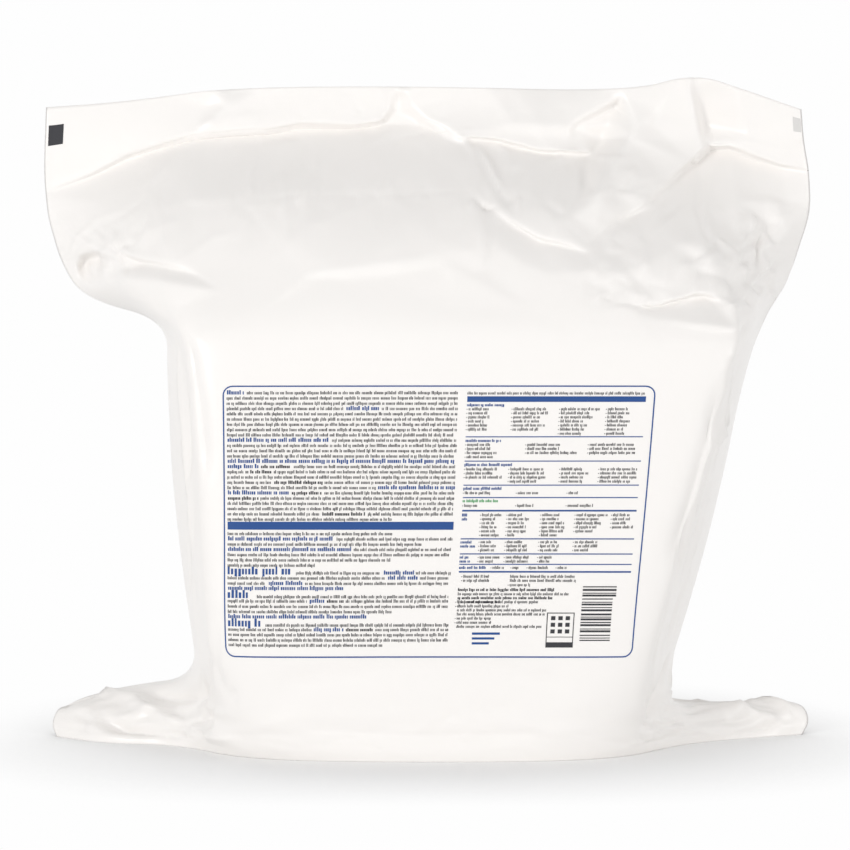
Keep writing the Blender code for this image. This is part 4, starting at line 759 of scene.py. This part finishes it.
def wrapped_film(rows, across, front_sheet, back_sheet, material):
    """The pouch as one closed mesh, with the flat film's own sizes as its UV map.

    The back has half as many columns as the front, and shares the columns at the two folds.
    """
    last = len(across) - 1
    back_across = across[::2]
    ring = last + 1 + last // 2 - 1
    points = np.concatenate([front_sheet, back_sheet[:, -3:0:-2]], axis=1).reshape(-1, 3)
    middle_line = up_rail(FRONT_MIDDLE, rows)
    up = np.concatenate([[0], np.cumsum(np.linalg.norm(np.diff(middle_line, axis=0), axis=1))])
    up += PANEL_LOW - np.interp(row_at(PANEL_LOW), rows, up)
    round_film = np.concatenate([across, 2 * film - back_across[-2:0:-1], [3 * film]])
    faces = []
    places = []
    for row in range(len(rows) - 1):
        for column in range(ring):
            beside = (column + 1) % ring
            faces.append((row * ring + column, row * ring + beside,
                          (row + 1) * ring + beside, (row + 1) * ring + column))
            places += [(round_film[column], up[row]), (round_film[column + 1], up[row]),
                       (round_film[column + 1], up[row + 1]), (round_film[column], up[row + 1])]
    for row, facing_down in ((0, True), (len(rows) - 1, False)):
        for column in range(0, last, 2):
            near, far = (ring - column // 2) % ring, ring - column // 2 - 1
            corners = [column, column + 1, column + 2, far, near]
            corners = [corner for place, corner in enumerate(corners) if corner not in corners[:place]]
            if facing_down:
                corners.reverse()
            faces.append([row * ring + corner for corner in corners])
            places += [(across[column], up[row])] * len(corners)
    pouch = mesh_object("film_pouch", points, faces, material)
    layer = pouch.data.uv_layers.new(name="flat_film")
    layer.data.foreach_set("uv", np.array(places, dtype=np.float32).ravel())
    pouch.data.polygons.foreach_set("use_smooth", [True] * len(faces))
    return pouch


# The materials.

def hex_colour(text):
    """An sRGB hex colour as linear values."""
    values = [int(text[place:place + 2], 16) / 255 for place in (1, 3, 5)]
    linear = [value / 12.92 if value <= 0.04045 else ((value + 0.055) / 1.055) ** 2.4 for value in values]
    return (*linear, 1.0)


def add_node(tree, kind, links=(), **settings):
    """Adds a node; settings are its own properties or its inputs, and links are (input, output) pairs."""
    node = tree.nodes.new(kind)
    for name, value in settings.items():
        if hasattr(node, name):
            setattr(node, name, value)
        else:
            node.inputs[name.replace("_", " ")].default_value = value
    for socket, output in links:
        tree.links.new(output, node.inputs[socket])
    return node


def add_math(tree, operation, first, second):
    """Two values of a tree put together by one operation."""
    return add_node(tree, "ShaderNodeMath", [(0, first), (1, second)], operation=operation).outputs["Value"]


def new_material(name):
    """A material with its node tree and its shader."""
    material = bpy.data.materials.new(name)
    material.use_nodes = True
    return material, material.node_tree, material.node_tree.nodes["Principled BSDF"]


def white_polyethylene_film():
    """Blown polyethylene film, filled white: a soft gloss, with a fine crinkle from handling."""
    material, tree, shader = new_material("white_polyethylene_film")
    shader.inputs["Base Color"].default_value = hex_colour("#F6F3F0")
    shader.inputs["Roughness"].default_value = 0.34
    shader.inputs["IOR"].default_value = 1.51
    place = add_node(tree, "ShaderNodeTexCoord")
    crinkle = add_node(tree, "ShaderNodeTexNoise", [("Vector", place.outputs["Object"])],
                       noise_dimensions="3D", Scale=220.0, Detail=3.0, Roughness=0.55)
    bump = add_node(tree, "ShaderNodeBump", [("Height", crinkle.outputs["Fac"])],
                    Strength=0.10, Distance=0.0006)
    tree.links.new(bump.outputs["Normal"], shader.inputs["Normal"])
    return material


def printing_ink(name, colour):
    """Flexographic ink on film: flat colour, a little less shiny than the film round it."""
    material, tree, shader = new_material(name)
    shader.inputs["Base Color"].default_value = hex_colour(colour)
    shader.inputs["Roughness"].default_value = 0.42
    return material


# The printed panel. Its places are in millimetres: across from the middle of the front, and up from
# the floor. Every row of print is a run of small strokes with no meaning.
PANEL_WIDTH = 0.192
PANEL_LOW = 0.048
PANEL_HIGH = 0.1707
PANEL_CORNER = 0.0045
FRAME_LINE = 0.0006
FOOT_DRAWN, HEAD_DRAWN = 0.955, 1.01  # how wide the print is drawn at the panel's foot and head
HEAD_SHIFT = -0.002  # the head of the panel sits a little to the left of its foot
INK_LOW, INK_HIGH = 0.00002, 0.00011  # how far the two faces of the ink stand off the film
LEFT_COLUMN = (-94.2, 9.0)
RIGHT_COLUMN = (12.6, 91.9)
ROW_STEP = 2.37  # from one row of small print to the next
LIST_STEP = 1.82  # the same in the lists of the right column
SMALL_PRINT = 1.05  # how tall the strokes of small print stand
HEAVY_PRINT = 1.1
BLUE_PRINT = 1.35
HEADING_PRINT = 2.6
LIST_PRINT = 0.95
# The strokes of small print: their width, the gaps between them and between groups, and how many
# stand in a group. A stroke whose draw is low stands tall, and one whose draw is high hangs down, by
# these shares of its height.
STROKE_WIDTH = (0.26, 0.42)
STROKE_GAP = (0.20, 0.30)
GROUP_GAP = (0.45, 0.65)
GROUP_SIZE = (2, 10)
TALL_BELOW, TALL_RISE = 0.24, 1.4
HANGING_ABOVE, HANGING_DROP = 0.93, 0.35

# The rows of the left column: how high, where they end, and their coloured or heavy runs.
LEFT_ROWS = [(167.3 - ROW_STEP * number, 9.0) for number in range(25)]
LEFT_ROWS += [(103.9 - ROW_STEP * number, end) for number, end in enumerate((-18, 9, -5, 9, 9, -19, -53))]
LEFT_ROWS += [(height, end) for height, end in (
    (86.2, 9), (83.9, 9), (81.5, 9), (79.2, -40), (75.5, 9), (73.5, 9), (71.1, 9), (68.7, -17), (66.4, -28),
    (62.7, 9), (60.6, 9), (58.3, 9), (55.9, 9), (53.6, -21))]
SHORT_ROWS = {8: 7, 24: -18}
BLUE_RUNS = {0: (-94, -86), 3: (-41, -26), 9: (-94, -48), 13: (-94, 9), 14: (-94, -80), 18: (-26, 9),
             19: (-94, -66), 26: (-94, -45), 28: (-94, -37), 32: (-22, -8), 33: (-20, -6), 34: (-75, -59),
             35: (-94, -40), 37: (-56, -49), 40: (-94, -28), 42: (-54, -40)}
HEAVY_RUNS = {14: (-79, -65), 15: (-86, -74), 17: (-73, -51), 19: (-65, -51), 20: (-94, -80),
              23: (-51, -31), 37: (-48, -40), 42: (-39, -26)}
HEADINGS = {32: -64, 36: -82, 41: -78}  # larger blue strokes that open a row, and where they end

# The right column: short rows in sets, as height, where each begins and ends, and its ink.
RIGHT_SETS = [
    # top line, heading, and four lists side by side
    (167.1, [(12.6, 91.5)], "text", 1),
    (161.8, [(12.6, 37.0)], "blue", 1),
    (160.0, [(13.4, 25.0), (33.4, 51.5), (54.6, 72.0), (75.4, 86.0)], "text", 6),
    (149.0, [(54.6, 67.0), (75.4, 88.0)], "text", 1),
    (145.8, [(12.6, 36.0)], "blue", 1),
    (144.0, [(13.4, 28.0), (40.4, 64.0), (68.4, 91.5)], "text", 3),
    (138.5, [(13.4, 33.0)], "text", 1),
    (135.0, [(12.6, 37.0)], "blue", 1),
    (133.0, [(13.4, 30.0), (33.4, 53.0), (56.4, 71.0), (74.0, 91.5)], "text", 3),
    (127.5, [(33.4, 50.0), (56.4, 71.0), (74.0, 91.5)], "text", 1),
    (124.3, [(12.6, 35.0)], "blue", 1),
    (122.3, [(13.4, 32.0), (37.4, 51.0), (60.4, 67.0)], "text", 1),
    (118.7, [(12.6, 32.0)], "green", 1),
    (116.6, [(13.4, 23.0), (37.4, 46.0), (60.4, 76.0)], "text", 1),
    (112.3, [(12.6, 16.0)], "blue", 2),
    (112.4, [(21.8, 31.0), (33.8, 44.0), (49.2, 60.0), (64.8, 80.0), (81.4, 91.0)], "text", 4),
    (105.1, [(21.8, 31.0), (33.8, 43.0), (49.2, 60.0), (64.8, 76.0)], "text", 1),
    (103.3, [(21.8, 30.0), (33.8, 38.0), (49.2, 60.0)], "text", 1),
    (100.1, [(12.6, 19.5)], "blue", 2),
    (100.2, [(21.8, 30.0), (33.8, 44.0), (49.2, 61.0), (65.0, 76.0)], "text", 3),
    (93.3, [(12.6, 19.0)], "blue", 2),
    (93.3, [(21.8, 31.0), (33.8, 46.0), (49.2, 57.0)], "text", 2),
    (88.6, [(12.6, 25.5)], "blue", 1),
    (88.6, [(28.0, 35.0), (37.2, 42.5), (44.6, 55.0), (58.0, 62.5)], "text", 1),
    (84.6, [(14.8, 31.0), (36.4, 67.0)], "text", 2),
    (80.8, [(36.4, 52.0)], "text", 1),
    (78.6, [(12.6, 58.0)], "heavy", 1),
    (76.7, [(12.6, 64.0)], "text", 1),
    (74.9, [(12.6, 57.0)], "heavy", 1),
    (73.1, [(12.6, 50.0), (12.6, 37.0)], "text", 1),
    (71.2, [(12.6, 37.0)], "text", 1),
    (69.4, [(12.6, 54.0)], "text", 2),
    (65.7, [(12.6, 33.0)], "text", 1),
    (63.8, [(12.6, 37.0)], "text", 1),
    (62.0, [(12.6, 52.5)], "text", 1),
]
# The ruled lines across the right column, as height and thickness.
RULES = [(147.6, 0.45), (136.7, 0.45), (125.9, 0.45), (120.3, 0.45), (114.4, 0.75), (101.7, 0.5),
         (94.9, 0.5), (90.2, 0.45), (86.8, 0.75)]
# The solid bars, as where they begin and end across, their foot and their head.
BLUE_BARS = [(LEFT_COLUMN, 105.8, 109.4), (RIGHT_COLUMN, 163.3, 165.8)]
# Plain strips set one above another, as heights from the foot of their block and thicknesses.
STRIPS = [(0.0, 0.5), (1.1, 0.4), (2.3, 0.5), (3.9, 0.9), (5.2, 0.4), (6.7, 0.9), (8.1, 0.5), (9.3, 0.9),
          (10.6, 0.4), (11.6, 0.8), (13.4, 0.9), (14.9, 0.4), (16.1, 0.8), (17.3, 0.4), (18.7, 0.5),
          (20.1, 0.9), (21.4, 0.4), (22.6, 0.9), (24.2, 0.5)]
STRIPS_LEFT, STRIPS_RIGHT, STRIPS_FOOT = 70.4, 84.6, 55.6
LONG_STRIP_RISE, LONG_STRIP_RIGHT = 20, 86.0  # the uppermost strips reach further right
# The small box: the rectangles that its outline is drawn with, and its nine squares.
BOX_SIDES = [(54.6, 67.4, 52.6, 55.0), (54.6, 55.0, 55.0, 68.4), (67.0, 67.4, 55.0, 68.4),
             (55.0, 67.0, 68.0, 68.4), (55.0, 67.0, 57.2, 57.5)]
SQUARES_LEFT, SQUARES_FOOT = 56.6, 59.0
SQUARE_STEPS = (3.4, 3.0)
SQUARE_SIZE = (2.0, 1.8)
# Three short blue lines, each shorter than the one above.
LINES_LEFT, LINES_RIGHT, LINES_FOOT = 20.0, 33.0, 58.4
LINE_SHORTER, LINE_STEP, LINE_THICK = 2.5, 2.2, 1.0


def on_front(across, height):
    """Points of the creased front film, and the way it faces there, for places in metres."""
    share = np.clip((height - PANEL_LOW) / (PANEL_HIGH - PANEL_LOW), 0, 1)
    drawn = across * (FOOT_DRAWN + (HEAD_DRAWN - FOOT_DRAWN) * share) + HEAD_SHIFT * share
    row = row_at(height)
    return (on_sheet(film_front, film_rows, film_across, row, drawn),
            on_sheet(film_facing, film_rows, film_across, row, drawn))


class Ink:
    """Collects patches of one ink, each a thin closed plate that follows the film."""

    def __init__(self):
        self.points = []
        self.faces = []

    def patch(self, low, high, bottom, top, step=4.0):
        """A rectangle of ink, in millimetres, cut into pieces short enough to follow the film."""
        wide = max(1, math.ceil((high - low) / step))
        tall = max(1, math.ceil((top - bottom) / step))
        across, height = np.meshgrid(np.linspace(low, high, wide + 1), np.linspace(bottom, top, tall + 1))
        self.sheet(across * MM, height * MM)

    def sheet(self, across, height):
        """A grid of places on the panel, made into a closed plate."""
        self.plate_from(*on_front(across, height))

    def plate_from(self, spots, facing):
        """A closed plate over a grid of points, rows upwards."""
        tall, wide = spots.shape[:2]
        base = len(self.points)
        under = (spots + facing * INK_LOW).reshape(-1, 3)
        over = (spots + facing * INK_HIGH).reshape(-1, 3)
        self.points += [tuple(point) for point in np.concatenate([under, over])]
        count = tall * wide
        for row in range(tall - 1):
            for column in range(wide - 1):
                corner = base + row * wide + column
                face = (corner, corner + 1, corner + wide + 1, corner + wide)
                self.faces.append(tuple(place + count for place in face))
                self.faces.append(face[::-1])
        rim = list(range(wide))
        rim += [row * wide + wide - 1 for row in range(1, tall)]
        rim += [(tall - 1) * wide + column for column in range(wide - 2, -1, -1)]
        rim += [row * wide for row in range(tall - 2, 0, -1)]
        for near, far in zip(rim, rim[1:] + rim[:1]):
            self.faces.append((base + near, base + far, base + far + count, base + near + count))

    def strokes(self, low, high, foot, tall, rng, heavy=1.0):
        """A run of small upright strokes in groups, like print seen from too far to read."""
        place = low
        while place < high - 0.6:
            for _ in range(int(rng.integers(*GROUP_SIZE))):
                width = rng.uniform(*STROKE_WIDTH) * heavy * tall / SMALL_PRINT
                if place + width > high:
                    break
                kind = rng.uniform()
                rise = tall * (TALL_RISE if kind < TALL_BELOW else 1.0)
                drop = tall * (HANGING_DROP if kind > HANGING_ABOVE else 0.0)
                self.patch(place, place + width, foot - drop, foot + rise)
                place += width + rng.uniform(*STROKE_GAP) * tall / SMALL_PRINT / heavy ** 0.5
            place += rng.uniform(*GROUP_GAP) * tall / SMALL_PRINT

    def piece(self, name, material):
        """All the patches as one piece that moves with the film."""
        made = mesh_object(name, self.points, self.faces, material)
        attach(made, "root")


def frame_ring(inset):
    """Places along the panel's rounded outline, in metres, drawn in from its edge."""
    half, low, high = PANEL_WIDTH / 2 - inset, PANEL_LOW + inset, PANEL_HIGH - inset
    bend = PANEL_CORNER - inset
    ring = []
    for turn, centre in enumerate(((half - bend, high - bend), (bend - half, high - bend),
                                   (bend - half, low + bend), (half - bend, low + bend))):
        for step in range(7):
            angle = math.radians(90 * turn + 15 * step)
            ring.append((centre[0] + bend * math.cos(angle), centre[1] + bend * math.sin(angle)))
    return ring


def outline(ink):
    """The thin frame round the panel."""
    outer, inner = frame_ring(0), frame_ring(FRAME_LINE)
    for number in range(len(outer)):
        after = (number + 1) % len(outer)
        start = np.array([outer[number], inner[number]])
        end = np.array([outer[after], inner[after]])
        pieces = max(1, math.ceil(np.linalg.norm(end[0] - start[0]) / 0.003))
        share = np.linspace(0, 1, pieces + 1)[:, None, None]
        run = start * (1 - share) + end * share
        ink.sheet(run[:, :, 0].T, run[:, :, 1].T)


def printed_left_column(inks, rng):
    """The dense rows of the left column, with their blue and heavy runs."""
    for number, (middle_height, end) in enumerate(LEFT_ROWS):
        foot = middle_height - 0.6
        end = SHORT_ROWS.get(number, end) - rng.uniform(0, 0.4)
        start = LEFT_COLUMN[0]
        if number in HEADINGS:
            inks["blue"].strokes(start, HEADINGS[number], foot, HEADING_PRINT, rng, 1.15)
            start = HEADINGS[number] + 1.5
        runs = ((BLUE_RUNS.get(number), "blue", BLUE_PRINT, 1.35),
                (HEAVY_RUNS.get(number), "text", HEAVY_PRINT, 1.5))
        for run, ink, tall, heavy in sorted(entry for entry in runs if entry[0]):
            if run[0] - 1 > start:
                inks["text"].strokes(start, run[0] - 1, foot, SMALL_PRINT, rng)
            inks[ink].strokes(max(run[0], start), min(run[1], end), foot, tall, rng, heavy)
            start = run[1] + 0.8
        if start < end - 1:
            inks["text"].strokes(start, end, foot, SMALL_PRINT, rng)


def printed_right_column(inks, rng):
    """The short lists of the right column, each row of a list with its dot before it."""
    for first, runs, ink, repeats in RIGHT_SETS:
        for number in range(repeats):
            foot = first - LIST_STEP * number - 0.5
            for low, high in runs:
                length = (high - low) * (1 if high - low > 30 else rng.uniform(0.62, 1.0))
                if ink == "text" and high - low < 30:
                    inks["text"].patch(low - 0.9, low - 0.55, foot + 0.3, foot + 0.65)
                heavy = {"text": 1.0, "heavy": 1.5, "blue": 1.4, "green": 1.3}[ink]
                name = "text" if ink == "heavy" else ink
                inks[name].strokes(low, low + length, foot, LIST_PRINT, rng, heavy)


def printed_marks(inks):
    """The plain shapes in the panel: bars, rules, a block of strips and a small box."""
    for (low, high), bottom, top in BLUE_BARS:
        inks["blue"].patch(low, high, bottom, top, step=3.0)
    for height, thick in RULES:
        inks["blue"].patch(*RIGHT_COLUMN, height - thick / 2, height + thick / 2, step=3.0)
    for rise, thick in STRIPS:
        right_end = STRIPS_RIGHT if rise < LONG_STRIP_RISE else LONG_STRIP_RIGHT
        inks["text"].patch(STRIPS_LEFT, right_end, STRIPS_FOOT + rise, STRIPS_FOOT + rise + thick)
    for side in BOX_SIDES:
        inks["text"].patch(*side)
    for column in range(3):
        for row in range(3):
            low = SQUARES_LEFT + SQUARE_STEPS[0] * column
            bottom = SQUARES_FOOT + SQUARE_STEPS[1] * row
            inks["text"].patch(low, low + SQUARE_SIZE[0], bottom, bottom + SQUARE_SIZE[1])
    for number in range(3):
        bottom = LINES_FOOT - LINE_STEP * number
        inks["blue"].patch(LINES_LEFT, LINES_RIGHT - LINE_SHORTER * number, bottom, bottom + LINE_THICK)


# The two register marks, as where they begin and end across in metres, and their rows.
LEFT_MARK = (-0.1765, -0.1695, 13.22, 13.64)
RIGHT_MARK = (0.1735, 0.1772, 13.28, 13.70)


def corner_marks(dark, grey):
    """The two register marks the press prints at the top corners of the film."""
    for (low, high, bottom, top), plate in ((LEFT_MARK, dark), (RIGHT_MARK, grey)):
        across, row = np.meshgrid(np.linspace(low, high, 5), np.linspace(bottom, top, 5))
        spots = on_sheet(film_front, film_rows, film_across, row, across)
        facing = on_sheet(film_facing, film_rows, film_across, row, across)
        plate.plate_from(spots, facing)


stretches = [np.linspace(low, high, count + 1) for low, high, count in ROW_STRETCHES]
film_rows = np.unique(np.concatenate(stretches))
film_across = np.linspace(-film, film, COLUMNS + 1)
film_front, film_back = creased_film(film_rows, film_across)
film_facing = outward(film_front, 0)
pouch = wrapped_film(film_rows, film_across, film_front, film_back, white_polyethylene_film())
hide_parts("pouch")
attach(pouch, "root")

print_rng = np.random.default_rng(7)
inks = {"text": Ink(), "blue": Ink(), "green": Ink()}
outline(inks["blue"])
printed_left_column(inks, print_rng)
printed_right_column(inks, print_rng)
printed_marks(inks)
corner_grey = Ink()
corner_marks(inks["text"], corner_grey)
inks["text"].piece("print_small_text", printing_ink("black_flexographic_ink", "#2B2B30"))
inks["blue"].piece("print_blue", printing_ink("blue_flexographic_ink", "#14478A"))
inks["green"].piece("print_green", printing_ink("green_flexographic_ink", "#3A9B57"))
corner_grey.piece("print_corner_mark", printing_ink("grey_flexographic_ink", "#D8D6D4"))


# The table, the light and the camera.
SHADOW_REACH = 0.12  # how far from the film the table is still in shade
SHADOW_SHARE = 2.6  # how much of the shade the camera sees where the film touches the table
LEFT_WALL = 0.895
RIGHT_WALL = 1.0
CEILING_SHARE = 0.50
BOX_AIM = (0, 0, 0.15)  # what the soft boxes are turned to
CAMERA_LENS = 182.0
CAMERA_PLACE = (-0.0014, -2.0, 0.30)
CAMERA_TILT = 4.39


def seen_plainly(tree):
    """One for the rays of the camera and of what is glossy or clear, and nought for those that light."""
    rays = add_node(tree, "ShaderNodeLightPath")
    seen = rays.outputs["Is Camera Ray"]
    for kind in ("Is Glossy Ray", "Is Transmission Ray"):
        seen = add_math(tree, "MAXIMUM", seen, rays.outputs[kind])
    return seen


def add_choice(tree, share, first, second, output):
    """Leads two shaders into an output: the first where the share is nought, the second where it is one."""
    choice = add_node(tree, "ShaderNodeMixShader", [(0, share), (1, first), (2, second)])
    tree.links.new(choice.outputs["Shader"], tree.nodes[output].inputs["Surface"])


def add_floor():
    """A white table, whiter for the camera, that keeps the narrow shadow close round the film."""
    bpy.ops.object.select_all(action="DESELECT")
    bpy.ops.mesh.primitive_plane_add(size=8.0, location=(0, 0, 0))
    floor = bpy.context.object
    floor.name = "table_top"
    material, tree, shader = new_material("white_table")
    shader.inputs["Base Color"].default_value = hex_colour("#FAFAFA")
    shader.inputs["Roughness"].default_value = 0.9
    shader.inputs["Specular IOR Level"].default_value = 0.0
    plain = add_node(tree, "ShaderNodeEmission", Color=hex_colour("#FEFEFE"), Strength=1.0)
    close = add_node(tree, "ShaderNodeAmbientOcclusion", samples=16, Distance=SHADOW_REACH)
    darkness = add_node(tree, "ShaderNodeMapRange", [("Value", close.outputs["AO"])],
                        From_Min=0.0, From_Max=1.0, To_Min=SHADOW_SHARE, To_Max=0.0)
    seen = seen_plainly(tree)
    shaded = add_math(tree, "MULTIPLY", seen, darkness.outputs["Result"])
    white = add_math(tree, "SUBTRACT", seen, shaded)
    add_choice(tree, white, shader.outputs["BSDF"], plain.outputs["Emission"], "Material Output")
    floor.data.materials.append(material)


def add_soft_box(name, place, width, power):
    """A large square lamp at a place, turned to the object."""
    light = bpy.data.lights.new(name, "AREA")
    light.shape = "RECTANGLE"
    light.size, light.size_y = width, width
    light.energy = power
    lamp = bpy.data.objects.new(name, light)
    bpy.context.scene.collection.objects.link(lamp)
    lamp.location = place
    lamp.rotation_euler = (Vector(BOX_AIM) - Vector(place)).to_track_quat("-Z", "Y").to_euler()


def add_studio():
    """White walls all round under a dimmer ceiling, and plain white behind the object for the camera.

    The soft box at the left of the camera is the key light, so that folds that face left are lit most.
    """
    world = bpy.data.worlds.new("studio")
    bpy.context.scene.world = world
    world.use_nodes = True
    tree = world.node_tree
    room = tree.nodes["Background"]
    room.inputs["Color"].default_value = hex_colour("#FFFFFF")
    direction = add_node(tree, "ShaderNodeTexCoord")
    parts = add_node(tree, "ShaderNodeSeparateXYZ", [("Vector", direction.outputs["Generated"])])
    ceiling = add_node(tree, "ShaderNodeMapRange", [("Value", parts.outputs["Z"])],
                       From_Min=0.0, From_Max=0.9, To_Min=1.0, To_Max=CEILING_SHARE)
    side = add_node(tree, "ShaderNodeMapRange", [("Value", parts.outputs["X"])],
                    From_Min=-1.0, From_Max=1.0, To_Min=LEFT_WALL, To_Max=RIGHT_WALL)
    tree.links.new(add_math(tree, "MULTIPLY", ceiling.outputs["Result"], side.outputs["Result"]),
                   room.inputs["Strength"])
    behind = add_node(tree, "ShaderNodeBackground", Color=hex_colour("#FEFEFE"), Strength=1.0)
    add_choice(tree, seen_plainly(tree), room.outputs["Background"], behind.outputs["Background"],
               "World Output")
    add_soft_box("left_soft_box", (-1.5, -2.1, 0.6), 0.6, 20.4)
    add_soft_box("right_soft_box", (1.8, -1.6, 0.4), 0.8, 8.0)
    bpy.context.scene.view_settings.view_transform = "Standard"


def add_camera():
    """The camera stands 2 m in front, at the height of the seal, looking a little down."""
    data = bpy.data.cameras.new("camera")
    data.sensor_width = 36.0
    data.lens = CAMERA_LENS
    camera = bpy.data.objects.new("camera", data)
    bpy.context.scene.collection.objects.link(camera)
    camera.location = CAMERA_PLACE
    camera.rotation_euler = (math.radians(90 - CAMERA_TILT), 0, 0)
    bpy.context.scene.camera = camera


add_floor()
add_studio()
add_camera()
